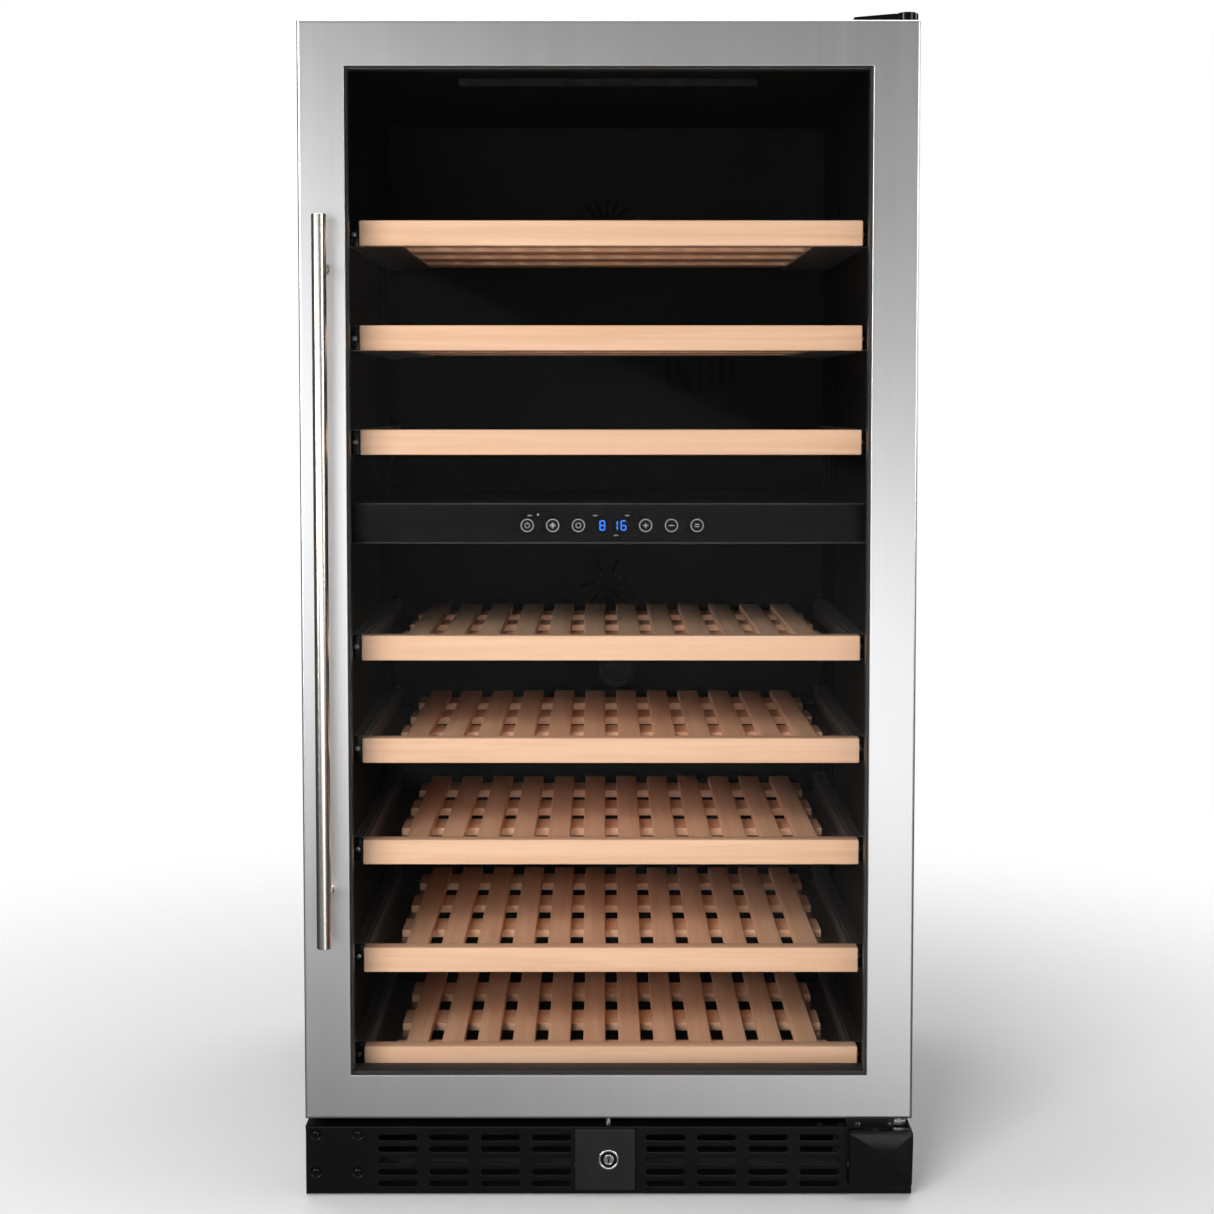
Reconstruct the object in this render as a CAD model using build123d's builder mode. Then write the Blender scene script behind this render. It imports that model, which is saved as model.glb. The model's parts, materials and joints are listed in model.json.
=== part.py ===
"""Two-zone wine cooler with a glass door, eight wooden shelves and a louvred plinth.

Millimetres, +Z up, the front faces -Y. The origin is on the floor, under the middle of the object.
"""
from build123d import *
import os

os.makedirs("parts", exist_ok=True)

# ---------------------------------------------------------------- driving dimensions
width = 595.0                # cabinet and door
depth = 573.0                # door front to cabinet back
handle_proud = 40.0          # handle front to door front
front_y = -(depth + handle_proud) / 2 + handle_proud
back_y = front_y + depth

door_bottom = 77.6
door_top = 1142.4
door_thick = 43.0
door_edge_r = 3.0
stile = 45.15                # visible metal beside the glass
rail = 43.7                  # visible metal above and below the glass
skin_thick = 1.0
skin_depth = 30.0            # how far the metal wraps round the door's edge
lip_wide = 1.0               # the metal turned in round the opening
lip_deep = 2.8
glass_thick = 4.0
glass_lap = 9.0              # how far the panes reach behind the metal
pane_gap = 14.0
gasket_depth = 9.8
gasket_wide = 12.0
gasket_half = 284.0

cab_top = 1143.9
cab_front = front_y + door_thick + 10.0
sheet = 1.5                  # steel sheet of the cabinet
liner_half = 257.5           # inside half width of the cavity
liner_thick = 2.0
liner_floor = 100.0
liner_ceiling = 1103.0
liner_back = 258.0
hump_top = 200.0
hump_front = 112.0
bay_front = 148.0            # front of the compressor bay
bay_top = 163.0
grille_top = 172.0
inlet_x = 258.0              # the power inlet's outer edge
foam_gap = 0.5
base_low = 14.0              # the base tray
base_high = 74.0
base_sheet = 2.0
frame_edge = 16.0            # width of the cabinet's painted front edge

panel_half = 257.0           # divider, fascia and duct covers reach this far from the middle
divider_low = 643.0
divider_high = 675.0
fascia_low = 639.0
fascia_high = 679.0
shelf_front = front_y + 60.0

hinge_x = 286.8
hinge_y = front_y + 21.5
pin_r = 4.0
running = 0.05               # radial clearance of a running fit
bush_r = 7.0

handle_x = -273.0
handle_r = 7.0
handle_low = 256.0
handle_high = 956.0
post_r = 5.0

plinth_top = 70.0
plinth_low = 2.0
plinth_front = front_y + 2.0
hinge_bay_x = 233.0          # the plinth is cut away to the right of this

lock_x = 0.0
lock_z = 37.8
bolt_r = 2.75
bolt_low = 51.0
bolt_y = front_y + 12.0

board_shift = 2.5            # the boards sit this far right of the middle
board_half = 248.5
board_high = 25.0
board_thick = 18.0
shelf_tops = [958.0, 855.0, 752.0, 547.0, 444.0, 341.5, 232.0, 131.0]
slat_wide = 23.0
slat_pitch = 36.3
slat_count = 12
rail_wide = 50.0
rail_pitch = 107.0
rack_shift = 4.0
rack_half = 223.0
timber = 8.0                 # thickness of rails and slats
runner_half_high = 12.0

duct_front = 213.0
duct_sheet = 2.0
fan_r = 46.0
shaft_r = 3.0


# ---------------------------------------------------------------- helpers
def block(low, high, mode=Mode.ADD):
    """Put a box between two opposite corners into the open part."""
    size = [b - a for a, b in zip(low, high)]
    with Locations(tuple(low)):
        Box(*size, align=Align.MIN, mode=mode)


def rod(centre, radius, length, axis="Z", mode=Mode.ADD):
    """Put a cylinder into the open part, starting at centre and running along +axis."""
    turn = {"Z": (0, 0, 0), "Y": (-90, 0, 0), "X": (0, 90, 0)}[axis]
    lift = (Align.CENTER, Align.CENTER, Align.MIN)
    with Locations(Location(centre, turn)):
        Cylinder(radius, length, align=lift, mode=mode)


def save(part, label):
    """Name a finished piece and write it."""
    part.label = label
    export_step(part, f"parts/{label}.step")


# ---------------------------------------------------------------- cabinet shell
half = width / 2
with BuildPart() as outer_wrap:
    block((-half, cab_front, base_low), (half, back_y, cab_top))
    block((-half + sheet, cab_front + sheet, 0),
          (half - sheet, back_y + 1, cab_top - sheet), Mode.SUBTRACT)
    block((-half + frame_edge, cab_front - 1, 0),
          (half - frame_edge, cab_front + 2, cab_top - frame_edge), Mode.SUBTRACT)
save(outer_wrap.part, "outer_wrap")

with BuildPart() as back_panel:
    block((-half + sheet, back_y - sheet, grille_top), (half - sheet, back_y, cab_top - sheet))
save(back_panel.part, "back_panel")

with BuildPart() as rear_grille:
    block((-half + sheet, back_y - sheet, base_low + base_sheet), (half - sheet, back_y, grille_top))
    with Locations(Location((0, back_y - sheet / 2, 95.0), (90, 0, 0))):
        with GridLocations(44.0, 16.0, 10, 7):
            Box(34.0, 6.0, 4 * sheet, mode=Mode.SUBTRACT)
    block((-inlet_x - 2, back_y - 2 * sheet, 24.0), (-inlet_x + 30, back_y + 1, 52.0), Mode.SUBTRACT)
save(rear_grille.part, "rear_grille")

foot_spots = [(-255.0, -175.0), (255.0, -175.0), (-255.0, 265.0), (255.0, 265.0)]
stud_r = 5.0
with BuildPart() as base_tray:
    block((-half + sheet, cab_front + sheet, base_low), (half - sheet, back_y - sheet, base_high))
    block((-half + 2 * sheet, cab_front + 2 * sheet, base_low + base_sheet),
          (half - 2 * sheet, back_y - 1, base_high + 1), Mode.SUBTRACT)
    block((-232.0, cab_front, 20.0), (226.0, cab_front + 3 * sheet, 62.0), Mode.SUBTRACT)
    for spot in foot_spots:
        rod((spot[0], spot[1], base_low + base_sheet), 11.0, 6.0)
        rod((spot[0], spot[1], base_low - 1), stud_r + running, 12.0, mode=Mode.SUBTRACT)
save(base_tray.part, "base_tray")

wall_in = liner_half + liner_thick + foam_gap
wall_out = half - sheet - foam_gap
foam_front = cab_front + sheet + foam_gap
foam_back = back_y - sheet - foam_gap
foam_low = base_high + 1.0
foam_high = cab_top - 2.0
with BuildPart() as insulation_foam:
    block((-wall_out, foam_front, foam_low), (-wall_in, foam_back, foam_high))
    block((wall_in, foam_front, foam_low), (wall_out, foam_back, foam_high))
    block((-wall_in + 1, foam_front, liner_ceiling + 2.5), (wall_in - 1, foam_back, foam_high))
    block((-wall_in + 1, liner_back + 2.5, hump_top), (wall_in - 1, foam_back, liner_ceiling + 1.5))
    block((-wall_in + 1, foam_front, foam_low), (wall_in - 1, hump_front, liner_floor - 2.5))
    block((-wall_in + 1, hump_front + 2.5, foam_low), (wall_in - 1, bay_front, hump_top - 2.5))
    block((-wall_in + 1, bay_front + 1, bay_top), (wall_in - 1, foam_back, hump_top - 2.5))
save(insulation_foam.part, "insulation_foam")

# thin plastic liner: its side profile is the cavity with a step over the compressor bay
with BuildPart() as inner_liner:
    with BuildSketch(Plane.YZ.offset(-liner_half - liner_thick)):
        with BuildLine():
            Polyline(
                (cab_front, liner_floor - liner_thick),
                (hump_front + liner_thick, liner_floor - liner_thick),
                (hump_front + liner_thick, hump_top - liner_thick),
                (liner_back + liner_thick, hump_top - liner_thick),
                (liner_back + liner_thick, liner_ceiling + liner_thick),
                (cab_front, liner_ceiling + liner_thick),
                close=True,
            )
        make_face()
    extrude(amount=2 * (liner_half + liner_thick))
    with BuildSketch(Plane.YZ.offset(-liner_half)):
        with BuildLine():
            Polyline(
                (cab_front - 1, liner_floor),
                (hump_front, liner_floor),
                (hump_front, hump_top),
                (liner_back, hump_top),
                (liner_back, liner_ceiling),
                (cab_front - 1, liner_ceiling),
                close=True,
            )
        make_face()
    extrude(amount=2 * liner_half, mode=Mode.SUBTRACT)
    flange_low = base_high + 0.5
    flange_high = cab_top - frame_edge - 0.5
    with BuildSketch(Plane.XZ.offset(-cab_front)):
        with Locations((0, (flange_low + flange_high) / 2)):
            Rectangle(2 * (half - frame_edge - 0.5), flange_high - flange_low)
        with Locations((0, (liner_floor + liner_ceiling) / 2)):
            Rectangle(2 * liner_half, liner_ceiling - liner_floor, mode=Mode.SUBTRACT)
    extrude(amount=-sheet)
save(inner_liner.part, "inner_liner")

# ---------------------------------------------------------------- inside the cavity
with BuildPart() as divider_panel:
    block((-panel_half, cab_front + 13.0, divider_low), (panel_half, duct_front, divider_high))
    block((-110.0, cab_front + 12.0, 646.0), (112.0, cab_front + 34.0, 672.0), Mode.SUBTRACT)
save(divider_panel.part, "divider_panel")

with BuildPart() as control_fascia:
    block((-panel_half, shelf_front, fascia_low), (panel_half, shelf_front + 5.5, fascia_high))
    edges = control_fascia.edges().filter_by(Axis.X).group_by(Axis.Y)[0]
    fillet(edges, radius=1.2)
save(control_fascia.part, "control_fascia")

with BuildPart() as display_module:
    block((-100.0, shelf_front + 6.0, 648.0), (104.0, shelf_front + 12.0, 668.0))
save(display_module.part, "display_module")

with BuildPart() as control_board:
    block((-104.0, shelf_front + 12.5, 647.0), (108.0, shelf_front + 14.1, 671.0))
    for x in (-70.0, -20.0, 30.0, 80.0):
        block((x - 8, shelf_front + 14.1, 652.0), (x + 8, shelf_front + 18.0, 664.0))
save(control_board.part, "control_board")

led_half = 150.0
led_deep = 7.0
with BuildPart() as led_strips:
    for ceiling in (liner_ceiling, divider_low):
        block((-led_half, -160.0, ceiling - led_deep), (led_half, -146.0, ceiling))
save(led_strips.part, "led_strips")

upper_fan_z = 985.0
lower_fan_z = 560.0
upper_slots_z = 822.0
lower_slots_z = 395.0
filter_x = 12.0
filter_z = 461.0
filter_r = 22.0
filter_seat_r = 17.0


def duct_cover(low, high, fan_z, slots_z):
    """A shallow tray that stands off the liner's back wall, with slots and a fan inlet."""
    block((-panel_half, duct_front, low), (panel_half, liner_back, high))
    inner_low = (-panel_half + duct_sheet, duct_front + duct_sheet, low + duct_sheet)
    inner_high = (panel_half - duct_sheet, liner_back + 1, high - duct_sheet)
    block(inner_low, inner_high, Mode.SUBTRACT)
    front_face = Location((0, duct_front, slots_z), (90, 0, 0))
    with Locations(front_face):
        with GridLocations(13.0, 1.0, 24, 1):
            Box(6.0, 56.0, 4 * duct_sheet, mode=Mode.SUBTRACT)
    with Locations(Location((0, duct_front, fan_z), (90, 0, 0))):
        with PolarLocations(22.0, 16):
            Box(26.0, 3.5, 4 * duct_sheet, mode=Mode.SUBTRACT)


with BuildPart() as duct_covers:
    duct_cover(divider_high + 0.5, liner_ceiling - 0.5, upper_fan_z, upper_slots_z)
    duct_cover(hump_top + 0.5, divider_high - 40.0, lower_fan_z, lower_slots_z)
    rod((filter_x, duct_front - 3.0, filter_z), filter_seat_r + 3.0, 4.0, "Y")
    rod((filter_x, duct_front - 4.0, filter_z), filter_seat_r + running, 12.0, "Y", Mode.SUBTRACT)
save(duct_covers.part, "duct_covers")

with BuildPart() as charcoal_filter:
    rod((filter_x, duct_front - 10.0, filter_z), filter_r, 6.0, "Y")
    fillet(charcoal_filter.edges().group_by(Axis.Y)[0], radius=2.0)
    rod((filter_x, duct_front - 4.0, filter_z), filter_seat_r, 22.0, "Y")
    rod((filter_x, duct_front - 11.0, filter_z), 14.0, 3.0, "Y", Mode.SUBTRACT)
    block((filter_x - 13.0, duct_front - 10.0, filter_z - 2),
          (filter_x + 13.0, duct_front - 7.0, filter_z + 2))
save(charcoal_filter.part, "charcoal_filter")


def fin_block(centre, size, fin_count, tube_rows):
    """Plate fins across a row of straight tubes: the heart of an evaporator or condenser."""
    pitch = size[0] / (fin_count - 1)
    for k in range(fin_count):
        x = centre[0] - size[0] / 2 + k * pitch
        low = (x - 0.5, centre[1] - size[1] / 2, centre[2] - size[2] / 2)
        high = (x + 0.5, centre[1] + size[1] / 2, centre[2] + size[2] / 2)
        block(low, high)
    for k in range(tube_rows):
        z = centre[2] + size[2] * ((k + 0.5) / tube_rows - 0.5)
        rod((centre[0] - size[0] / 2 - 8, centre[1], z), 4.0, size[0] + 16, "X")


with BuildPart() as evaporators:
    for evaporator_z in (880.0, 300.0):
        fin_block((0.0, 238.0, evaporator_z), (300.0, 26.0, 90.0), 21, 4)
save(evaporators.part, "evaporators")

# ---------------------------------------------------------------- fans
cond_fan_x = -110.0
cond_fan_z = 95.0
cond_fan_y = 214.0
air_fan_y = 222.0


def rotor(centre, radius, blades, axial):
    """A hub with a bore and straight raked blades, turning about Y."""
    rod(centre, 13.0, axial, "Y")
    start = Location((centre[0], centre[1] + axial / 2, centre[2]), (90, 0, 0))
    with Locations(start):
        with PolarLocations((radius + 12.0) / 2, blades):
            Box(radius - 12.0, 1.6, axial * 1.15, rotation=(35, 0, 0))
    rod((centre[0], centre[1] - 5, centre[2]), shaft_r + running, axial + 10, "Y", Mode.SUBTRACT)


with BuildPart() as upper_fan:
    rotor((0.0, air_fan_y, upper_fan_z), fan_r, 7, 12.0)
save(upper_fan.part, "upper_fan")

with BuildPart() as lower_fan:
    rotor((0.0, air_fan_y, lower_fan_z), fan_r, 7, 12.0)
save(lower_fan.part, "lower_fan")

with BuildPart() as condenser_fan:
    rotor((cond_fan_x, cond_fan_y, cond_fan_z), 58.0, 5, 16.0)
save(condenser_fan.part, "condenser_fan")

with BuildPart() as fan_motors:
    for z in (upper_fan_z, lower_fan_z):
        rod((0.0, air_fan_y + 15.0, z), 14.0, liner_back - air_fan_y - 15.0, "Y")
        rod((0.0, air_fan_y - 2.0, z), shaft_r, 17.0, "Y")
    rod((cond_fan_x, cond_fan_y + 20.0, cond_fan_z), 20.0, 30.0, "Y")
    rod((cond_fan_x, cond_fan_y - 3.0, cond_fan_z), shaft_r, 23.0, "Y")
    block((cond_fan_x - 12, cond_fan_y + 34, base_low + base_sheet),
          (cond_fan_x + 12, cond_fan_y + 38, cond_fan_z - 10))
save(fan_motors.part, "fan_motors")

# ---------------------------------------------------------------- machine bay
comp_x = 135.0
comp_y = 228.0
comp_low = 24.0
with BuildPart() as compressor:
    with BuildSketch(Plane.XY.offset(comp_low)):
        with Locations((comp_x, comp_y)):
            Ellipse(74.0, 58.0)
    extrude(amount=112.0)
    fillet(compressor.edges().group_by(Axis.Z)[-1], radius=26.0)
    fillet(compressor.edges().group_by(Axis.Z)[0], radius=4.0)
    block((comp_x - 86, comp_y - 34, comp_low), (comp_x + 86, comp_y + 34, comp_low + 3))
    with Locations((comp_x, comp_y, comp_low)):
        with GridLocations(148.0, 48.0, 2, 2):
            Cylinder(8.0, 8.0, align=(Align.CENTER, Align.CENTER, Align.MAX))
save(compressor.part, "compressor")

with BuildPart() as condenser:
    fin_block((cond_fan_x, 176.0, 92.0), (200.0, 40.0, 120.0), 26, 5)
    block((cond_fan_x - 110, 156.0, base_low + base_sheet), (cond_fan_x + 110, 196.0, 32.5))
save(condenser.part, "condenser")

pipe_r = 3.0
pipe_x = 20.0
pipe_start = (comp_x - 74.3, comp_y, 95.0)
with BuildPart() as refrigerant_pipes:
    with BuildLine():
        FilletPolyline(
            pipe_start,
            (pipe_x, comp_y, 95.0),
            (pipe_x, comp_y, 140.0),
            (pipe_x, 176.0, 140.0),
            (-1.8, 176.0, 140.0),
            radius=9.0,
        )
    with BuildSketch(Plane(pipe_start, z_dir=(-1, 0, 0))):
        Circle(pipe_r)
    sweep()
with BuildPart() as drier:
    rod((pipe_x, 262.0, 60.0), 9.0, 80.0)
    fillet(drier.edges().group_by(Axis.Z)[0], radius=5.0)
    fillet(drier.edges().group_by(Axis.Z)[-1], radius=5.0)
    rod((pipe_x, 262.0, 140.0), pipe_r, 18.0)
    rod((pipe_x, 262.0, 42.0), pipe_r, 18.0)
save(Compound([refrigerant_pipes.part, drier.part]), "refrigerant_pipes")

with BuildPart() as drip_tray:
    block((60.0, 168.0, 136.2), (212.0, 288.0, 152.0))
    block((62.0, 170.0, 138.2), (210.0, 286.0, 153.0), Mode.SUBTRACT)
save(drip_tray.part, "drip_tray")

with BuildPart() as power_inlet:
    block((-inlet_x, back_y - 24.0, 26.0), (-inlet_x + 28, back_y, 50.0))
    block((-inlet_x + 4, back_y - 18.0, 29.0), (-inlet_x + 24, back_y + 1, 47.0), Mode.SUBTRACT)
    for x, z in ((-inlet_x + 8, 36.0), (-inlet_x + 14, 41.0), (-inlet_x + 20, 36.0)):
        block((x - 1, back_y - 18.0, z - 2), (x + 1, back_y - 3.0, z + 2))
save(power_inlet.part, "power_inlet")

# ---------------------------------------------------------------- feet
foot_names = ["foot_front_left", "foot_front_right", "foot_rear_left", "foot_rear_right"]
for foot_name, spot in zip(foot_names, foot_spots):
    with BuildPart() as foot:
        rod((spot[0], spot[1], 0), 18.0, 8.0)
        fillet(foot.edges().group_by(Axis.Z)[0], radius=1.5)
        fillet(foot.edges().group_by(Axis.Z)[-1], radius=2.0)
        with BuildSketch(Plane.XY.offset(7.9)):
            with Locations(spot):
                RegularPolygon(9.0, 6)
        extrude(amount=4.0)
        rod((spot[0], spot[1], 8.0), stud_r, 32.0)
    save(foot.part, foot_name)

# ---------------------------------------------------------------- plinth and lock
slot_long = 38.0
slot_high = 5.2
slot_rows = 5
column_pitch = 50.3
row_pitch = 11.5
slot_field_x = 131.4
slot_field_z = 35.2
plinth_screws = [(-287.3, 61.6), (-246.5, 61.6), (-287.3, 24.0), (-246.5, 24.0)]
lock_left = -33.2
lock_right = 26.3
lock_low = 6.6
lock_high = 67.7
lock_front = front_y - 1.0

with BuildPart() as plinth_grille:
    block((-half, plinth_front, plinth_low), (half, cab_front - 0.3, plinth_top))
    inner_low = (-half + sheet, plinth_front + sheet, plinth_low + sheet)
    inner_high = (half - sheet, cab_front + 1, plinth_top - sheet)
    block(inner_low, inner_high, Mode.SUBTRACT)
    block((hinge_bay_x, plinth_front - 1, 13.0),
          (half + 1, cab_front + 1, plinth_top + 1), Mode.SUBTRACT)
    for side in (-1, 1):
        with Locations(Location((side * slot_field_x, plinth_front, slot_field_z), (90, 0, 0))):
            with GridLocations(column_pitch, row_pitch, 4, slot_rows):
                Box(slot_long, slot_high, 4 * sheet, mode=Mode.SUBTRACT)
    block((lock_left - 0.3, plinth_front - 1, lock_low - 0.3),
          (lock_right + 0.3, plinth_front + 3, lock_high + 0.3), Mode.SUBTRACT)
    rod((lock_x, bolt_y, plinth_top - 5), bolt_r + 0.5, 10.0, mode=Mode.SUBTRACT)
    for x, z in plinth_screws:
        rod((x, plinth_front - 1, z), 1.8 + running, 5.0, "Y", Mode.SUBTRACT)
save(plinth_grille.part, "plinth_grille")

lock_body_r = 8.0
with BuildPart() as lock_housing:
    block((lock_left, lock_front, lock_low), (lock_right, lock_front + 4.0, lock_high))
    front = lock_housing.faces().sort_by(Axis.Y)[0]
    fillet(front.edges(), radius=1.0)
    block((-14.0, lock_front + 4.0, 20.0), (14.0, lock_front + 34.0, lock_high))
    rod((lock_x, lock_front - 1, lock_z), lock_body_r + running, 24.0, "Y", Mode.SUBTRACT)
    rod((lock_x, bolt_y, bolt_low - 1), bolt_r + running, 30.0, mode=Mode.SUBTRACT)
save(lock_housing.part, "lock_housing")

with BuildPart() as lock_cylinder:
    rod((lock_x, lock_front - 2.0, lock_z), 10.0, 2.0, "Y")
    fillet(lock_cylinder.edges().group_by(Axis.Y)[0], radius=1.0)
    rod((lock_x, lock_front, lock_z), lock_body_r, 11.0, "Y")
    rod((lock_x, lock_front - 3.0, lock_z), 6.5, 4.0, "Y", Mode.SUBTRACT)
    rod((lock_x, lock_front - 1.2, lock_z), 5.0, 3.0, "Y")
    block((lock_x - 1, lock_front - 2.0, lock_z - 3.6),
          (lock_x + 1, lock_front + 2.0, lock_z + 3.6), Mode.SUBTRACT)
save(lock_cylinder.part, "lock_cylinder")

bolt_top = door_bottom - 1.0
with BuildPart() as lock_bolt:
    rod((lock_x, bolt_y, bolt_low), bolt_r, bolt_top - bolt_low)
    chamfer(lock_bolt.edges().group_by(Axis.Z)[-1], length=0.6)
save(lock_bolt.part, "lock_bolt")

# ---------------------------------------------------------------- hinges
bracket_low = 67.2
bracket_thick = 3.0
bracket_top = cab_top + bracket_thick
arm_half = 7.6               # the arm that carries the pin
washer_high = 4.6
plate_thick = 2.5
top_pin_low = 1127.0
bottom_pin_high = 93.0
screw_r = 1.8
low_screws = [(250.0, 32.0), (250.0, 54.0), (284.0, 32.0), (284.0, 54.0)]
top_screw_x = 262.0
top_screws = [-195.0, -165.0]
with BuildPart() as lower_bracket:
    block((238.0, cab_front - 3.5, 20.0), (295.0, cab_front - 0.5, bracket_low + bracket_thick))
    block((250.0, cab_front - 18.0, bracket_low), (295.0, cab_front - 0.5, bracket_low + bracket_thick))
    block((hinge_x - arm_half, hinge_y, bracket_low),
          (hinge_x + arm_half, cab_front - 17.0, bracket_low + bracket_thick))
    rod((hinge_x, hinge_y, bracket_low), arm_half, bracket_thick)
    rod((hinge_x, hinge_y, bracket_low), 6.5, bracket_thick + washer_high)
    rod((hinge_x, hinge_y, bracket_low), pin_r, bottom_pin_high - bracket_low)
    chamfer(lower_bracket.edges().group_by(Axis.Z)[-1], length=1.0)
    for x, z in low_screws:
        rod((x, cab_front - 5, z), screw_r + running, 6.0, "Y", Mode.SUBTRACT)
with BuildPart() as upper_bracket:
    block((238.0, cab_front + 1, cab_top), (295.0, -150.0, bracket_top))
    block((hinge_x - arm_half, hinge_y, cab_top), (hinge_x + arm_half, cab_front + 2, bracket_top))
    rod((hinge_x, hinge_y, cab_top), arm_half, bracket_thick)
    rod((hinge_x, hinge_y, top_pin_low), pin_r, bracket_top - top_pin_low)
    chamfer(upper_bracket.edges().group_by(Axis.Z)[0], length=1.0)
    for y in top_screws:
        rod((top_screw_x, y, cab_top - 1), screw_r + running, 5.0, mode=Mode.SUBTRACT)
save(Compound([lower_bracket.part, upper_bracket.part]), "hinge_brackets")

cover_top = 1152.0
cover_back = -145.0
boss_r = 9.25
with BuildPart() as top_cover:
    with BuildSketch(Plane.XZ.offset(-cover_back)):
        with BuildLine():
            Polyline(
                (236.0, bracket_top + 0.1),
                (249.0, bracket_top + 0.1),
                (249.0, cab_top + 0.1),
                (half, cab_top + 0.1),
                (half, cover_top),
                (275.0, cover_top),
                (236.0, bracket_top + 1.6),
                close=True,
            )
        make_face()
    extrude(amount=cover_back - hinge_y)
    rod((hinge_x, hinge_y, cab_top + 0.1), boss_r, cover_top - cab_top - 0.1)
    block((hinge_x - boss_r, hinge_y, cab_top + 0.1), (half, hinge_y + boss_r, cover_top))
    hollow_top = bracket_top + 0.1
    block((235.0, cab_front, cab_top), (295.4, cover_back + 1, hollow_top), Mode.SUBTRACT)
    block((hinge_x - arm_half - 0.3, hinge_y, cab_top),
          (hinge_x + arm_half + 0.3, cab_front + 1, hollow_top), Mode.SUBTRACT)
    rod((hinge_x, hinge_y, cab_top), arm_half + 0.3, hollow_top - cab_top, mode=Mode.SUBTRACT)
    for y in top_screws:
        rod((top_screw_x, y, cab_top), 4.2, bracket_thick + 2.4, mode=Mode.SUBTRACT)
with BuildPart() as bottom_cover:
    block((235.0, front_y - 10.0, 13.6), (half, plinth_front + 2.0, 67.0))
    edges = bottom_cover.edges().group_by(Axis.Y)[0]
    fillet(edges, radius=1.5)
    block((236.5, front_y - 8.0, 15.0), (half - 1.5, plinth_front + 3.0, 65.5), Mode.SUBTRACT)
    block((236.0, plinth_front + 2.0, 13.6), (half, cab_front - 4.0, 15.1))
    block((half - 1.5, plinth_front + 2.0, 13.6), (half, cab_front - 4.0, 67.0))
save(Compound([top_cover.part, bottom_cover.part]), "hinge_covers")


def screw(place, axis, outward, length):
    """A pan-head screw: its head stands on the face at this point, its shank goes in."""
    lift = {"Z": (0, 0, 1), "Y": (0, 1, 0)}[axis]
    head_r = 3.6
    head_high = 2.0
    head_start = 0.0 if outward > 0 else -head_high
    shank_start = -length if outward > 0 else 0.0
    rod(tuple(c + head_start * n for c, n in zip(place, lift)), head_r, head_high, axis)
    rod(tuple(c + shank_start * n for c, n in zip(place, lift)), screw_r, length, axis)


with BuildPart() as cabinet_screws:
    for x, z in plinth_screws:
        screw((x, plinth_front, z), "Y", -1, 5.0)
    for x, z in low_screws:
        screw((x, cab_front - 3.5, z), "Y", -1, 3.4)
    for y in top_screws:
        screw((top_screw_x, y, bracket_top), "Z", 1, 2.9)
save(cabinet_screws.part, "cabinet_screws")

# ---------------------------------------------------------------- door
opening_half = half - stile
opening_low = door_bottom + rail
opening_high = door_top - rail
fixing_z = (handle_low + 50, handle_high - 50)

with BuildPart() as door_skin:
    block((-half, front_y, door_bottom), (half, front_y + skin_depth, door_top))
    front = door_skin.faces().sort_by(Axis.Y)[0]
    fillet(front.edges(), radius=door_edge_r)
    block((-half + skin_thick, front_y + skin_thick, door_bottom + skin_thick),
          (half - skin_thick, front_y + skin_depth + 1, door_top - skin_thick), Mode.SUBTRACT)
    block((-opening_half - lip_wide, front_y, opening_low - lip_wide),
          (opening_half + lip_wide, front_y + lip_deep, opening_high + lip_wide))
    block((-opening_half, front_y - 1, opening_low),
          (opening_half, front_y + 5, opening_high), Mode.SUBTRACT)
    rim = door_skin.edges().filter_by_position(Axis.Y, front_y - 0.1, front_y + 0.1)
    rim = rim.filter_by_position(Axis.X, -opening_half - 0.1, opening_half + 0.1)
    rim = rim.filter_by_position(Axis.Z, opening_low - 0.1, opening_high + 0.1)
    fillet(rim, radius=0.8)
    for z in (door_bottom - 1, door_top - 5):
        rod((hinge_x, hinge_y, z), bush_r + 0.1, 6.0, mode=Mode.SUBTRACT)
    rod((lock_x, bolt_y, door_bottom - 1), 5.1, 6.0, mode=Mode.SUBTRACT)
    for z in fixing_z:
        rod((handle_x, front_y - 1, z), 2.6, 6.0, "Y", Mode.SUBTRACT)
save(door_skin.part, "door_skin")

glass_front_y = front_y + 3.0
unit_back_y = glass_front_y + 2 * glass_thick + pane_gap
pane_half = opening_half + glass_lap
pane_low = opening_low - glass_lap
pane_high = opening_high + glass_lap
lip_half = opening_half + 1.5
core_clear = 0.3


def core_member(outer, rebate, lip, lengthwise, vertical):
    """One L-section member of the door's inner frame, worked out from three offsets.

    outer, rebate and lip are distances from the door's middle; lengthwise is its two ends.
    """
    y_front = front_y + skin_thick + 0.2
    y_step = unit_back_y + core_clear
    y_back = front_y + door_thick
    for near, far, y_low in ((rebate, outer, y_front), (lip, rebate, y_step)):
        low_edge = min(near, far)
        high_edge = max(near, far)
        if vertical:
            block((low_edge, y_low, lengthwise[0]), (high_edge, y_back, lengthwise[1]))
        else:
            block((lengthwise[0], y_low, low_edge), (lengthwise[1], y_back, high_edge))


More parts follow.
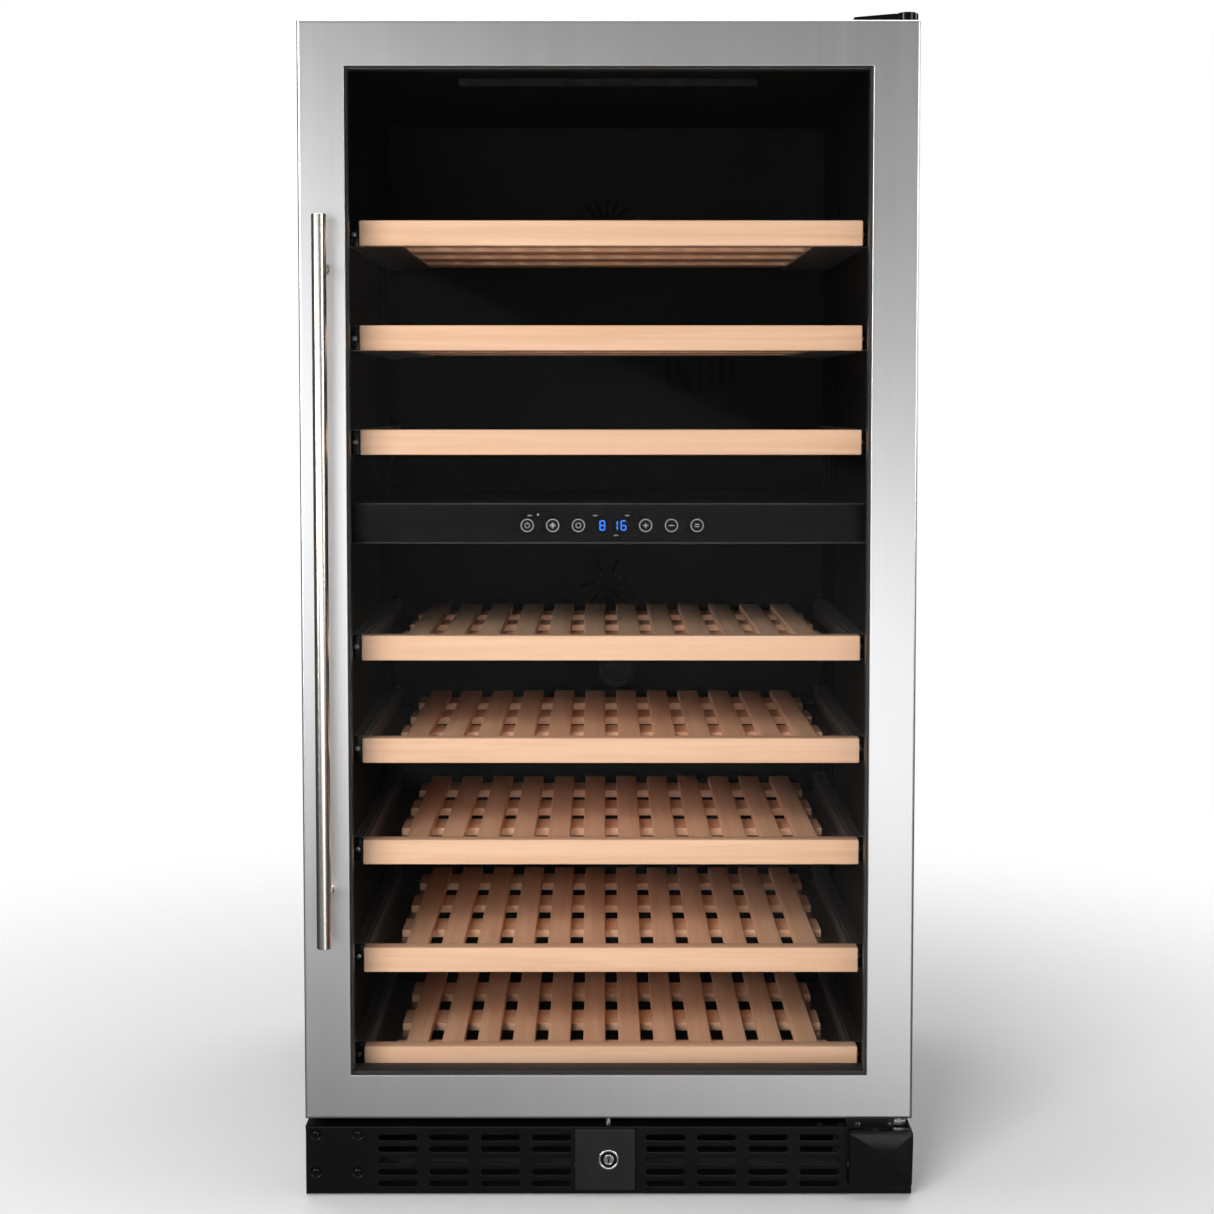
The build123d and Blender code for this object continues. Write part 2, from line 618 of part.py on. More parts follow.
core_half = half - skin_thick - 0.2
core_low = door_bottom + skin_thick + 0.2
core_high = door_top - skin_thick - 0.2
rebate_half = pane_half + core_clear
with BuildPart() as door_core:
    for side in (-1, 1):
        core_member(side * core_half, side * rebate_half, side * lip_half, (core_low, core_high), True)
    inner_span = (-lip_half + 0.2, lip_half - 0.2)
    core_member(core_low, pane_low - core_clear, opening_low - 1.5, inner_span, False)
    core_member(core_high, pane_high + core_clear, opening_high + 1.5, inner_span, False)
    for z in (core_low - 1, core_high - 26):
        rod((hinge_x, hinge_y, z), bush_r + 0.1, 27.0, mode=Mode.SUBTRACT)
    rod((lock_x, bolt_y, core_low - 1), 5.1, 24.0, mode=Mode.SUBTRACT)
    for z in fixing_z:
        rod((handle_x, front_y, z), 2.6, 20.0, "Y", Mode.SUBTRACT)
save(door_core.part, "door_core")

with BuildPart() as glass_panes:
    for y in (glass_front_y, glass_front_y + glass_thick + pane_gap):
        block((-pane_half, y, pane_low), (pane_half, y + glass_thick, pane_high))
save(glass_panes.part, "glass_panes")

spacer_wide = 11.0
with BuildPart() as glass_spacer:
    y = glass_front_y + glass_thick
    block((-pane_half, y, pane_low), (pane_half, y + pane_gap, pane_high))
    block((-pane_half + spacer_wide, y - 1, pane_low + spacer_wide),
          (pane_half - spacer_wide, y + pane_gap + 1, pane_high - spacer_wide), Mode.SUBTRACT)
save(glass_spacer.part, "glass_spacer")

gasket_low = door_bottom + 7.0
gasket_high = door_top - 7.0
gasket_y = front_y + door_thick
with BuildPart() as gasket:
    gasket_back = gasket_y + gasket_depth
    gasket_in = gasket_half - gasket_wide
    block((-gasket_half, gasket_y, gasket_low), (gasket_half, gasket_back, gasket_high))
    block((-gasket_in, gasket_y - 1, gasket_low + gasket_wide),
          (gasket_in, gasket_back + 1, gasket_high - gasket_wide), Mode.SUBTRACT)
save(gasket.part, "gasket")

handle_y = front_y - handle_proud + handle_r
socket_deep = 5.0
with BuildPart() as handle_bar:
    rod((handle_x, handle_y, handle_low), handle_r, handle_high - handle_low)
    chamfer(handle_bar.edges().filter_by(GeomType.CIRCLE), length=0.5)
    for z in fixing_z:
        rod((handle_x, handle_y + handle_r - socket_deep, z), post_r + 0.02, 10.0, "Y", Mode.SUBTRACT)
save(handle_bar.part, "handle_bar")

with BuildPart() as handle_posts:
    post_start = handle_y + handle_r - socket_deep
    for z in fixing_z:
        rod((handle_x, post_start, z), post_r, front_y - post_start, "Y")
        rod((handle_x, front_y - 1, z), 2.5, 20.0, "Y")
save(handle_posts.part, "handle_posts")

with BuildPart() as door_bushes:
    for z in (door_bottom, door_top - 20.0):
        rod((hinge_x, hinge_y, z), bush_r, 20.0)
        rod((hinge_x, hinge_y, z - 1), pin_r + running, 22.0, mode=Mode.SUBTRACT)
    rod((lock_x, bolt_y, door_bottom), 5.0, 20.0)
    rod((lock_x, bolt_y, door_bottom - 1), bolt_r + 0.5, 19.0, mode=Mode.SUBTRACT)
save(door_bushes.part, "door_bushes")

with BuildPart() as door_bottom_plate:
    block((196.0, hinge_y - 9.0, door_bottom - plate_thick), (295.0, hinge_y + 9.0, door_bottom))
    rod((hinge_x, hinge_y, door_bottom - plate_thick - 1), pin_r + 0.3, 5.0, mode=Mode.SUBTRACT)
    for x in (209.0, 230.5, 265.0):
        rod((x, hinge_y, door_bottom - plate_thick - 2.2), 3.4, 2.2)
save(door_bottom_plate.part, "door_bottom_plate")

# ---------------------------------------------------------------- shelves
rack_back = shelf_front + board_thick + 3 * rail_pitch + rail_wide
short_back = hump_front - 6.0


def runner_pair(centre_z, back):
    """Two fixed channels on the side walls, open towards the middle."""
    for side in (-1, 1):
        wall = side * liner_half
        for low, high in (((0.0, -runner_half_high), (1.4, runner_half_high)),
                          ((1.4, -runner_half_high), (11.0, -runner_half_high + 1.4)),
                          ((1.4, runner_half_high - 1.4), (11.0, runner_half_high))):
            edges_x = sorted((wall - side * low[0], wall - side * high[0]))
            block((edges_x[0], shelf_front + board_thick + 2, centre_z + low[1]),
                  (edges_x[1], back, centre_z + high[1]))


def slide_pair(centre_z, flange_z, back):
    """The moving members: a bar inside each channel, a web and a flange under the rack."""
    for side in (-1, 1):
        y_low = shelf_front + board_thick
        for x_low, x_high, z_low, z_high in ((205.0, 246.0, flange_z, flange_z + 2.0),
                                             (244.0, 246.0, flange_z, centre_z + 9.0),
                                             (246.0, 255.0, centre_z - 9.0, centre_z + 9.0)):
            edges_x = sorted((side * x_low, side * x_high))
            block((edges_x[0], y_low, z_low), (edges_x[1], back, z_high))


with BuildPart() as shelf_runners:
    for top in shelf_tops:
        back = short_back if top < hump_top else rack_back
        runner_pair(top - board_high / 2, back)
save(shelf_runners.part, "shelf_runners")

for number, top in enumerate(shelf_tops, start=1):
    bottom = top - board_high
    rail_z = bottom + 3.0
    slat_z = rail_z + timber
    rail_count = 3 if top < hump_top else 4
    back = shelf_front + board_thick + (rail_count - 1) * rail_pitch + rail_wide
    if top < hump_top:
        back = short_back
    with BuildPart() as board:
        block((board_shift - board_half, shelf_front, bottom),
              (board_shift + board_half, shelf_front + board_thick, top))
        fillet(board.edges().group_by(Axis.Y)[0], radius=1.5)
    with BuildPart() as rails:
        for k in range(rail_count):
            rail_y = shelf_front + board_thick + k * rail_pitch
            rail_end = min(rail_y + rail_wide, back)
            block((rack_shift - rack_half, rail_y, rail_z), (rack_shift + rack_half, rail_end, slat_z))
    with BuildPart() as slats:
        for k in range(slat_count):
            x = rack_shift + (k - (slat_count - 1) / 2) * slat_pitch
            block((x - slat_wide / 2, shelf_front + board_thick, slat_z),
                  (x + slat_wide / 2, back, slat_z + timber))
    save(Compound([board.part, rails.part, slats.part]), f"shelf_{number}_rack")

    with BuildPart() as slides:
        slide_pair(top - board_high / 2, rail_z - 2.0, back)
    save(slides.part, f"shelf_{number}_slides")
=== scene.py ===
import json
import bpy
import numpy as np
from bpy.props import FloatProperty, FloatVectorProperty, IntProperty, PointerProperty
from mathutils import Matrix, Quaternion, Vector


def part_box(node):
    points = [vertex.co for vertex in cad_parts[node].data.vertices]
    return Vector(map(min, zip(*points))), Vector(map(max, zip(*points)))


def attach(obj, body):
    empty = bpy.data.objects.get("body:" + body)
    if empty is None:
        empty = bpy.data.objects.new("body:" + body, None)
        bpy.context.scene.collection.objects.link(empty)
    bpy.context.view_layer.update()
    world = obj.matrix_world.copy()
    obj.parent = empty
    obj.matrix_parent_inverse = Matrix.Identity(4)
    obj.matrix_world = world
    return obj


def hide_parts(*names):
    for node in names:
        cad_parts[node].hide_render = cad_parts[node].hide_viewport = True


bl_info = {
    "name": "Wine cooler looks",
    "version": (1, 0, 0),
    "blender": (4, 5, 0),
    "location": "View3D > Sidebar > Cooler",
    "description": "Finishes, detailed surfaces, stage and lights of a two-zone wine cooler",
    "category": "Object",
}

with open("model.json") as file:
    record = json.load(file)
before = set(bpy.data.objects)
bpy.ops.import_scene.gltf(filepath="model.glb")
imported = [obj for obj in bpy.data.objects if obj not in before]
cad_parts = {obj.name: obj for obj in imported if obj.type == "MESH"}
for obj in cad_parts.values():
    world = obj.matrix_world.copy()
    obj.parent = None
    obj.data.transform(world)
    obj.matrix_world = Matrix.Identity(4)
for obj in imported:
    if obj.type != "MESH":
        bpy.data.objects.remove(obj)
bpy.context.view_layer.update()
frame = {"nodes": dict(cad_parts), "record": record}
MM = 0.001
FRONT = (0.0, -1.0, 0.0)
FULL_TURN = 2 * np.pi


# ---------------------------------------------------------------- shader expressions
class Term:
    """One socket of a node tree; Python's operators on it add Math nodes."""

    def __init__(self, shade, socket):
        self.shade = shade
        self.socket = socket

    def math(self, kind, *values):
        """Add a Math node of this kind."""
        return self.shade.node("ShaderNodeMath", {"operation": kind}, dict(enumerate(values)))

    def __add__(self, other):
        return self.math("ADD", self, other)

    def __radd__(self, other):
        return self.math("ADD", other, self)

    def __sub__(self, other):
        return self.math("SUBTRACT", self, other)

    def __rsub__(self, other):
        return self.math("SUBTRACT", other, self)

    def __mul__(self, other):
        return self.math("MULTIPLY", self, other)

    def __rmul__(self, other):
        return self.math("MULTIPLY", other, self)

    def __pow__(self, other):
        return self.math("POWER", self, other)

    def wave(self):
        """The sine of this value."""
        return self.math("SINE", self)

    def size(self):
        """This value without its sign."""
        return self.math("ABSOLUTE", self)

    def step(self, low, high):
        """A smooth rise from 0 at low to 1 at high."""
        inputs = {"Value": self, "From Min": low, "From Max": high}
        return self.shade.node("ShaderNodeMapRange", {"interpolation_type": "SMOOTHSTEP"}, inputs)


class Shade:
    """A material or a world whose node tree is written as Python expressions."""

    def __init__(self, name, world=False):
        self.material = (bpy.data.worlds if world else bpy.data.materials).new(name)
        self.material.use_nodes = True
        self.tree = self.material.node_tree
        self.surface = self.tree.nodes["Background" if world else "Principled BSDF"]
        self.place = self.node("ShaderNodeTexCoord", {}, {}, "Generated" if world else "Object")

    def node(self, kind, settings, inputs, output=0):
        """Add a node with these settings and inputs, and give back one of its outputs."""
        node = self.tree.nodes.new(kind)
        for key, value in settings.items():
            setattr(node, key, value)
        for key, value in inputs.items():
            self.feed(node.inputs[key], value)
        return Term(self, node.outputs[output])

    def feed(self, socket, value):
        """Link a Term to a socket, or set a constant on it."""
        if isinstance(value, Term):
            self.tree.links.new(value.socket, socket)
        elif isinstance(value, (tuple, list)) and socket.type == "RGBA":
            socket.default_value = (*value[:3], 1.0)
        else:
            socket.default_value = value

    def axis(self, name, source=None):
        """One coordinate of the object coordinates, or of another vector."""
        return self.node("ShaderNodeSeparateXYZ", {}, {"Vector": source or self.place}, name)

    def attribute(self, name):
        """A vector stored on the mesh."""
        settings = {"attribute_name": name, "attribute_type": "GEOMETRY"}
        return self.node("ShaderNodeAttribute", settings, {}, "Vector")

    def stretched(self, scale, source=None):
        """Coordinates multiplied axis by axis."""
        inputs = {0: source or self.place, 1: scale}
        return self.node("ShaderNodeVectorMath", {"operation": "MULTIPLY"}, inputs)

    def noise(self, scale, detail=2.0, roughness=0.5, warp=0.0, source=None):
        """Soft noise between 0 and 1 with this many cycles per metre along each axis."""
        inputs = {"Vector": self.stretched(scale, source), "Scale": 1.0, "Detail": detail,
                  "Roughness": roughness, "Distortion": warp}
        return self.node("ShaderNodeTexNoise", {}, inputs)

    def cells(self, scale, source=None):
        """Distance to the nearest of scattered points."""
        inputs = {"Vector": self.stretched(scale, source), "Scale": 1.0}
        return self.node("ShaderNodeTexVoronoi", {"feature": "F1"}, inputs, "Distance")

    def mix(self, factor, low, high):
        """A colour between two colours."""
        return self.node("ShaderNodeMix", {"data_type": "RGBA"}, {0: factor, 6: low, 7: high}, 2)

    def bump(self, height, depth):
        """A normal from a height between 0 and 1 that stands for this depth in metres."""
        inputs = {"Height": height, "Distance": depth, "Strength": 1.0}
        return self.node("ShaderNodeBump", {}, inputs)

    def finish(self, **inputs):
        """Feed the surface's sockets; underscores in the names stand for spaces."""
        for key, value in inputs.items():
            self.feed(self.surface.inputs[key.replace("_", " ")], value)
        return self.material


def tone(colour, factor):
    """A colour made lighter or darker."""
    return tuple(float(c) * factor for c in colour[:3])


def paint(name, colour, rough, grain=2200.0, depth=0.00003, sheen=0.5):
    """Powder coat or textured paint: orange peel, uneven gloss, dust low down and faint smears."""
    s = Shade(name)
    peel = s.noise((grain,) * 3, 2.0, 0.6)
    smear = s.noise((14.0, 14.0, 5.0), 4.0, 0.6, 0.4)
    dust = s.noise((900.0,) * 3, 1.0) * (1.0 - s.axis("Z").step(0.0, 0.5)) * 0.4
    base = s.mix(smear.step(0.3, 0.8) * 0.5 + dust, tone(colour, 0.8), tone(colour, 1.7))
    return s.finish(Base_Color=base, Roughness=rough + smear * 0.12 + peel * 0.06 - 0.06,
                    Normal=s.bump(peel, depth), Specular_IOR_Level=sheen)


def plastic(name, colour, rough, grain=3500.0, depth=0.000015, sheen=0.5):
    """Moulded plastic: fine spark-eroded texture and a few wipe marks."""
    s = Shade(name)
    spark = s.cells((grain,) * 3)
    wipe = s.noise((30.0, 30.0, 6.0), 3.0, 0.5, 1.0)
    base = s.mix(wipe * 0.6, tone(colour, 0.85), tone(colour, 1.35))
    return s.finish(Base_Color=base, Roughness=rough + wipe * 0.10 + spark * 0.08 - 0.06,
                    Normal=s.bump(spark, depth), Specular_IOR_Level=sheen)


def gloss(name, colour):
    """Polished black acrylic: hairline scratches and a barely uneven lustre."""
    s = Shade(name)
    hair = s.noise((40.0, 40.0, 5200.0), 2.0, 0.7).step(0.62, 0.80)
    haze = s.noise((18.0, 18.0, 18.0), 3.0)
    base = s.mix(haze, tone(colour, 0.7), tone(colour, 1.2))
    return s.finish(Base_Color=base, Roughness=0.16 + haze * 0.02 + hair * 0.05, Specular_IOR_Level=0.05)


def steel(name, colour, rough, grain, depth=0.0000025, streak=0.09):
    """Brushed metal: fine streaks drawn out along one axis, long soft bands and a faint haze."""
    s = Shade(name)
    fine = s.noise(grain, 3.0, 0.7)
    band = s.noise(tuple(g * 0.04 for g in grain), 2.0, 0.5)
    haze = s.noise((6.0, 6.0, 6.0), 3.0, 0.6)
    base = s.mix(fine * 0.7 + band * 0.3, tone(colour, 0.93), tone(colour, 1.05))
    return s.finish(Base_Color=base, Metallic=1.0,
                    Roughness=rough + (fine - 0.5) * streak + (band - 0.5) * 0.03 + (haze - 0.5) * 0.03,
                    Normal=s.bump(fine, depth))


def plated(name, colour, rough):
    """Zinc or chrome plating: grain of the base sheet, small pits and stains."""
    s = Shade(name)
    grain = s.noise((700.0, 700.0, 700.0), 4.0, 0.7)
    stain = s.noise((60.0, 60.0, 60.0), 3.0, 0.6, 0.6)
    pit = 1.0 - s.cells((900.0,) * 3).step(0.05, 0.22)
    base = s.mix(stain * 0.7 + pit * 0.5, tone(colour, 1.05), tone(colour, 0.72))
    return s.finish(Base_Color=base, Metallic=1.0, Roughness=rough + stain * 0.12 + grain * 0.05 - 0.06,
                    Normal=s.bump(grain - pit, 0.000006))


def rubber(name, colour, rough):
    """Rubber or soft vinyl: matt, with fine flow lines and chalky bloom."""
    s = Shade(name)
    flow = s.noise((500.0, 500.0, 500.0), 3.0, 0.6)
    bloom = s.noise((40.0, 40.0, 40.0), 3.0, 0.6)
    base = s.mix(bloom * 0.6 + flow * 0.2, tone(colour, 0.8), tone(colour, 1.8))
    return s.finish(Base_Color=base, Roughness=rough + bloom * 0.1 - 0.05, Normal=s.bump(flow, 0.00002))


def foam(name, colour):
    """Blown foam: packed bubbles darker towards their hollow middles and darker voids, both painted shade.
    """
    s = Shade(name)
    bubble_and_shade = s.cells((450.0,) * 3)
    void_and_shade = s.noise((90.0,) * 3, 3.0)
    # Painted shade: darker in the bubbles' hollows and in the voids.
    base = s.mix(bubble_and_shade * 0.8 + void_and_shade * 0.3, tone(colour, 0.7), colour)
    return s.finish(Base_Color=base, Roughness=0.9 - void_and_shade * 0.1, Normal=s.bump(bubble_and_shade, 0.0006))


def board(name, colour):
    """Circuit board: solder mask over copper tracks on a square grid, with round pads."""
    s = Shade(name)
    track = (s.axis("X") * 1300.0 + (s.axis("Z") * 420.0).wave() * 1.5).wave().step(0.55, 0.75)
    pad = 1.0 - s.cells((330.0, 330.0, 330.0)).step(0.16, 0.2)
    base = s.mix(pad, s.mix(track, colour, tone(colour, 1.9)), (0.75, 0.72, 0.62))
    return s.finish(Base_Color=base, Roughness=0.3 + pad * 0.15, Metallic=pad * 0.9,
                    Normal=s.bump(track + pad, 0.00003))


def lens(name, colour):
    """Frosted light strip: soft bright spots painted in as the LEDs' glow behind a ribbed diffuser, whose
    troughs are painted darker as shade.
    """
    s = Shade(name)
    rib = (s.axis("X") * 3200.0).wave() * 0.5 + 0.5
    # Painted glow: bright spots where the LEDs sit behind the diffuser; the lens gives off no light.
    painted_glow = ((s.axis("X") * 209.4).wave() * 0.5 + 0.5) ** 3.0
    # Painted shade: the ribs' troughs are darker than their crests.
    base = s.mix(rib, tone(colour, 0.85), colour)
    base = s.mix(painted_glow * 0.5, base, tone(colour, 1.6))
    return s.finish(Base_Color=base, Roughness=0.45 + rib * 0.1, Normal=s.bump(rib, 0.0001),
                    Specular_IOR_Level=0.1)


def glazing(name):
    """Clear float glass: a faint grey body, dust specks and wiping marks."""
    s = Shade(name)
    wipe = s.noise((9.0, 9.0, 3.0), 3.0, 0.6, 1.5)
    speck = 1.0 - s.cells((260.0,) * 3).step(0.02, 0.05)
    base = s.mix(wipe, (0.006, 0.007, 0.007), (0.015, 0.017, 0.016))
    return s.finish(Base_Color=base, Roughness=0.02 + wipe * 0.02, Specular_IOR_Level=0.3,
                    Alpha=0.018 + wipe * 0.006 + speck * 0.01)


def beech(name, colour):
    """Steamed beech: growth bands along the timber, fine pores and short dark ray flecks.

    The mesh stores, for each point, the distance along its timber, across it and through it.
    """
    s = Shade(name)
    grain = s.attribute("timber")
    band = s.noise((3.0, 95.0, 95.0), 3.0, 0.55, 0.5, grain)
    fine = s.noise((26.0, 1500.0, 1500.0), 3.0, 0.6, 0.0, grain)
    ray = 1.0 - s.cells((150.0, 900.0, 900.0), grain).step(0.10, 0.26)
    tint = s.noise((0.6, 7.0, 7.0), 1.0, 0.5, 0.0, grain)
    deep = (colour[0] * 0.87, colour[1] * 0.80, colour[2] * 0.72)
    base = s.mix(band.step(0.30, 0.72), tone(colour, 1.03), deep)
    base = s.mix((fine.step(0.45, 0.8) * 0.35) + ray * 0.22, base, tone(deep, 0.82))
    base = s.mix(tint * 0.35, base, (colour[0] * 0.98, colour[1] * 0.90, colour[2] * 0.80))
    return s.finish(Base_Color=base, Roughness=0.42 + fine * 0.12 + band * 0.05,
                    Normal=s.bump(fine * 0.7 - ray * 0.5, 0.00002))


def mark(name, colour, strength=0.0):
    """Printed or lit mark: slightly uneven ink, glowing if strength is above nought."""
    s = Shade(name)
    ink = s.noise((2500.0,) * 3, 2.0)
    base = s.mix(ink, tone(colour, 0.8), colour)
    return s.finish(Base_Color=base, Roughness=0.5 + ink * 0.1, Emission_Color=base,
                    Emission_Strength=strength)


# Each slot or finish: the function that makes it, and the values that follow the name.
FINISHES = {
    "cabinet_black": (paint, (0.016, 0.016, 0.017), 0.42),
    "plinth_black": (paint, (0.003, 0.003, 0.0033), 0.30, 2600.0, 0.00001, 0.12),
    "lock_black": (paint, (0.008, 0.008, 0.0083), 0.30, 2600.0, 0.00001, 0.30),
    "compressor_black": (paint, (0.012, 0.012, 0.013), 0.22, 500.0, 0.00004),
    "foam": (foam, (0.80, 0.74, 0.52)),
    "liner_black": (plastic, (0.004, 0.004, 0.0043), 0.45, 3500.0, 0.000015, 0.10),
    "motor_black": (plastic, (0.02, 0.02, 0.021), 0.45),
    "cover_black": (plastic, (0.004, 0.004, 0.0045), 0.14, 1500.0, 0.000004, 0.18),
    "fan_black": (plastic, (0.004, 0.004, 0.0045), 0.45, 3500.0, 0.000015, 0.15),
    "filter_grey": (plastic, (0.018, 0.018, 0.018), 0.45, 3500.0, 0.000015, 0.3),
    "door_core_black": (plastic, (0.02, 0.02, 0.021), 0.5),
    "bush_nylon": (plastic, (0.62, 0.61, 0.58), 0.45),
    "fascia_edge": (plastic, (0.06, 0.06, 0.062), 0.25),
    "gloss_black": (gloss, (0.0025, 0.0025, 0.003)),
    "circuit_board": (board, (0.02, 0.12, 0.05)),
    "led_lens": (lens, (0.014, 0.014, 0.013)),
    "fin_aluminium": (steel, (0.72, 0.73, 0.74), 0.38, (60.0, 900.0, 60.0)),
    "copper": (steel, (0.80, 0.42, 0.26), 0.30, (900.0, 900.0, 60.0)),
    "stainless": (steel, (0.60, 0.60, 0.605), 0.36, (1900.0, 1900.0, 9.0)),
    "handle_steel": (steel, (0.66, 0.62, 0.57), 0.24, (260.0, 260.0, 2600.0)),
    "runner_steel": (plated, (0.46, 0.46, 0.47), 0.34),
    "zinc_steel": (plated, (0.66, 0.66, 0.65), 0.30),
    "screw_steel": (plated, (0.60, 0.60, 0.60), 0.26),
    "chrome": (plated, (0.78, 0.78, 0.78), 0.16),
    "foot_rubber": (rubber, (0.02, 0.02, 0.02), 0.7),
    "spacer_grey": (rubber, (0.022, 0.022, 0.021), 0.5),
    "gasket_rubber": (rubber, (0.012, 0.012, 0.012), 0.6),
    "glass": (glazing,),
    "beech": (beech, (0.94, 0.61, 0.41)),
    "mark_white": (mark, (0.55, 0.55, 0.55), 0.15),
    "mark_blue": (mark, (0.02, 0.16, 0.85), 1.6),
}
made = {}


def material(name):
    """The finish of this name, made once."""
    if name not in made:
        kind, *values = FINISHES[name]
        made[name] = kind(name, *values)
    return made[name]


# ---------------------------------------------------------------- surfaces
def box(node):
    """The two opposite corners of a CAD node's box, as arrays."""
    low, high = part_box(node)
    return np.array(low), np.array(high)


def patch(points, facing=None, around=False):
    """A grid of points (rows x columns x 3) as vertices and triangles.

    Each cell gives two triangles. The patch is turned so that it faces one way, or, when it
    encloses a volume, so that the sum of its corners' triple products is above nought.
    """
    rows, columns = points.shape[:2]
    r = np.arange(rows - 1)[:, None]
    c = np.arange(columns if around else columns - 1)[None, :]
    a, b = r * columns + c, r * columns + (c + 1) % columns
    d, e = a + columns, b + columns
    faces = np.concatenate([np.stack([a, b, e], -1).reshape(-1, 3), np.stack([a, e, d], -1).reshape(-1, 3)])
    flat = points.reshape(-1, 3)
    corner = flat[faces] - flat.mean(0)
    normal = np.cross(corner[:, 1] - corner[:, 0], corner[:, 2] - corner[:, 0])
    if facing is None:
        turned = (normal * corner.mean(1)).sum() < 0
    else:
        turned = (normal @ np.array(facing)).sum() < 0
    return flat, faces[:, ::-1] if turned else faces


def crease_rims(mesh):
    """Mark the edges that have one face as sharp, so that a sheet's thickness shades cleanly."""
    edges = np.empty(len(mesh.loops), np.int32)
    mesh.loops.foreach_get("edge_index", edges)
    layer = mesh.attributes.get("sharp_edge") or mesh.attributes.new("sharp_edge", "BOOLEAN", "EDGE")
    sharp = np.empty(len(mesh.edges), bool)
    layer.data.foreach_get("value", sharp)
    layer.data.foreach_set("value", sharp | (np.bincount(edges, minlength=len(sharp)) == 1))


def piece(name, patches, finish, body, replaced=(), attribute=None, sharp=32.0, thick=0.0):
    """Join patches into one object that rides on a body and wears one finish.

    Points that coincide, with the same attribute, become one, and triangles without an area
    are dropped. Edges sharper than an angle in degrees stay sharp.
    """
    counts = np.cumsum([0] + [len(p[0]) for p in patches[:-1]])
    points = np.concatenate([p[0] for p in patches])
    faces = np.concatenate([p[1] + n for p, n in zip(patches, counts)])
    columns = points if attribute is None else np.hstack([points, attribute[1]])
    columns, index = np.unique(np.round(columns, 6), axis=0, return_inverse=True)
    points = columns[:, :3]
    faces = index.reshape(-1)[faces]
    kept = (faces[:, 0] != faces[:, 1]) & (faces[:, 1] != faces[:, 2]) & (faces[:, 2] != faces[:, 0])
    corner = points[faces]
    area = np.linalg.norm(np.cross(corner[:, 1] - corner[:, 0], corner[:, 2] - corner[:, 0]), axis=1)
    faces = faces[kept & (area > 1e-13)]
    mesh = bpy.data.meshes.new(name)
    mesh.vertices.add(len(points))
    mesh.vertices.foreach_set("co", points.ravel())
    mesh.loops.add(faces.size)
    mesh.loops.foreach_set("vertex_index", faces.astype(np.int32).ravel())
    mesh.polygons.add(len(faces))
    mesh.polygons.foreach_set("loop_start", np.arange(0, faces.size, 3, dtype=np.int32))
    mesh.update(calc_edges=True)
    mesh.validate()
    mesh.shade_smooth()
    mesh.set_sharp_from_angle(angle=np.radians(sharp))
    if thick:
        crease_rims(mesh)
    if attribute is not None:
        layer = mesh.attributes.new(attribute[0], "FLOAT_VECTOR", "POINT")
        layer.data.foreach_set("vector", columns[:, 3:].astype(np.float32).ravel())
    obj = bpy.data.objects.new(name, mesh)
    bpy.context.scene.collection.objects.link(obj)
    mesh.materials.append(material(finish))
    if thick:
        solid = obj.modifiers.new("Thickness", "SOLIDIFY")
        solid.thickness = thick
        solid.offset = -1.0
    if replaced:
        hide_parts(*replaced)
    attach(obj, body)
    return obj


def rounded(corners, radius, steps=5, closed=True):
    """A polygon, or an open outline that keeps its two ends, with its corners cut round.

    Each corner becomes a parabola arc between two points that lie on its sides, at most the
    radius and at most 0.45 of the side's length from it.
    """
    p = np.asarray(corners, float)
    back, ahead = np.roll(p, 1, 0) - p, np.roll(p, -1, 0) - p
    lengths = [np.maximum(np.linalg.norm(v, axis=1, keepdims=True), 1e-9) for v in (back, ahead)]
    reach = np.broadcast_to(np.asarray(radius, float).reshape(-1, 1), (len(p), 1))
    start = p + back / lengths[0] * np.minimum(reach, 0.45 * lengths[0])
    end = p + ahead / lengths[1] * np.minimum(reach, 0.45 * lengths[1])
    if not closed:
        start[[0, -1]], end[[0, -1]] = p[[0, -1]], p[[0, -1]]
    t = np.linspace(0, 1, steps)[:, None, None]
    arcs = (1 - t) ** 2 * start + 2 * t * (1 - t) * p + t ** 2 * end
    return arcs.transpose(1, 0, 2).reshape(-1, 2)


def lathe(profile, centre, axis, around=96, closed=True):
    """A profile of (radius, height) pairs turned about an axis through a centre.

    A point is the centre plus height along the axis plus radius times (cosine, sine) across it.
    """
    turn = np.linspace(0, FULL_TURN, around, endpoint=False)
    radius, height = np.asarray(profile, float).T
    across = radius[:, None] * np.cos(turn), radius[:, None] * np.sin(turn)
    along = np.repeat(height[:, None], around, 1)
    order = {"Z": (across[0], across[1], along), "Y": (across[0], along, across[1])}[axis]
    return patch(np.stack(order, -1) + np.asarray(centre), None if closed else FRONT, True)


def prism(section, low, high, edge, axis="Y"):
    """A closed section carried straight from low to high along an axis, with eased end edges.

    The first and last rows are the section's middle; the next ones are the section drawn in
    by the edge, which turns round into the full section a quarter circle further on.
    """
    section = np.asarray(section, float)
    middle = section.mean(0)
    span = np.abs(section - middle).max(0)
    turn = np.linspace(0, np.pi / 2, 5)
    inset = edge * (1 - np.sin(turn))
    depth = edge * (1 - np.cos(turn))
    scale = 1 - inset[:, None] / span
    rows = np.concatenate([scale * 0, scale, scale[::-1], scale * 0])[4:-4]
    places = np.concatenate([[low], low + depth, high - depth[::-1], [high]])
    flat = middle + (section - middle)[None] * rows[:, None, :]
    along = np.broadcast_to(places[:, None], flat.shape[:2])
    order = {"Y": (flat[..., 0], along, flat[..., 1]), "X": (along, flat[..., 0], flat[..., 1]),
             "Z": (flat[..., 0], flat[..., 1], along)}[axis]
    return patch(np.stack(order, -1), None, True)


def rectangle(low, high):
    """The corners of a rectangle."""
    return np.array([(low[0], low[1]), (high[0], low[1]), (high[0], high[1]), (low[0], high[1])])


def pad(low, high, edge):
    """A box with eased edges all round, as a prism along X."""
    low, high = np.asarray(low), np.asarray(high)
    return prism(rounded(rectangle(low[1:], high[1:]), edge, 4), low[0], high[0], edge, "X")


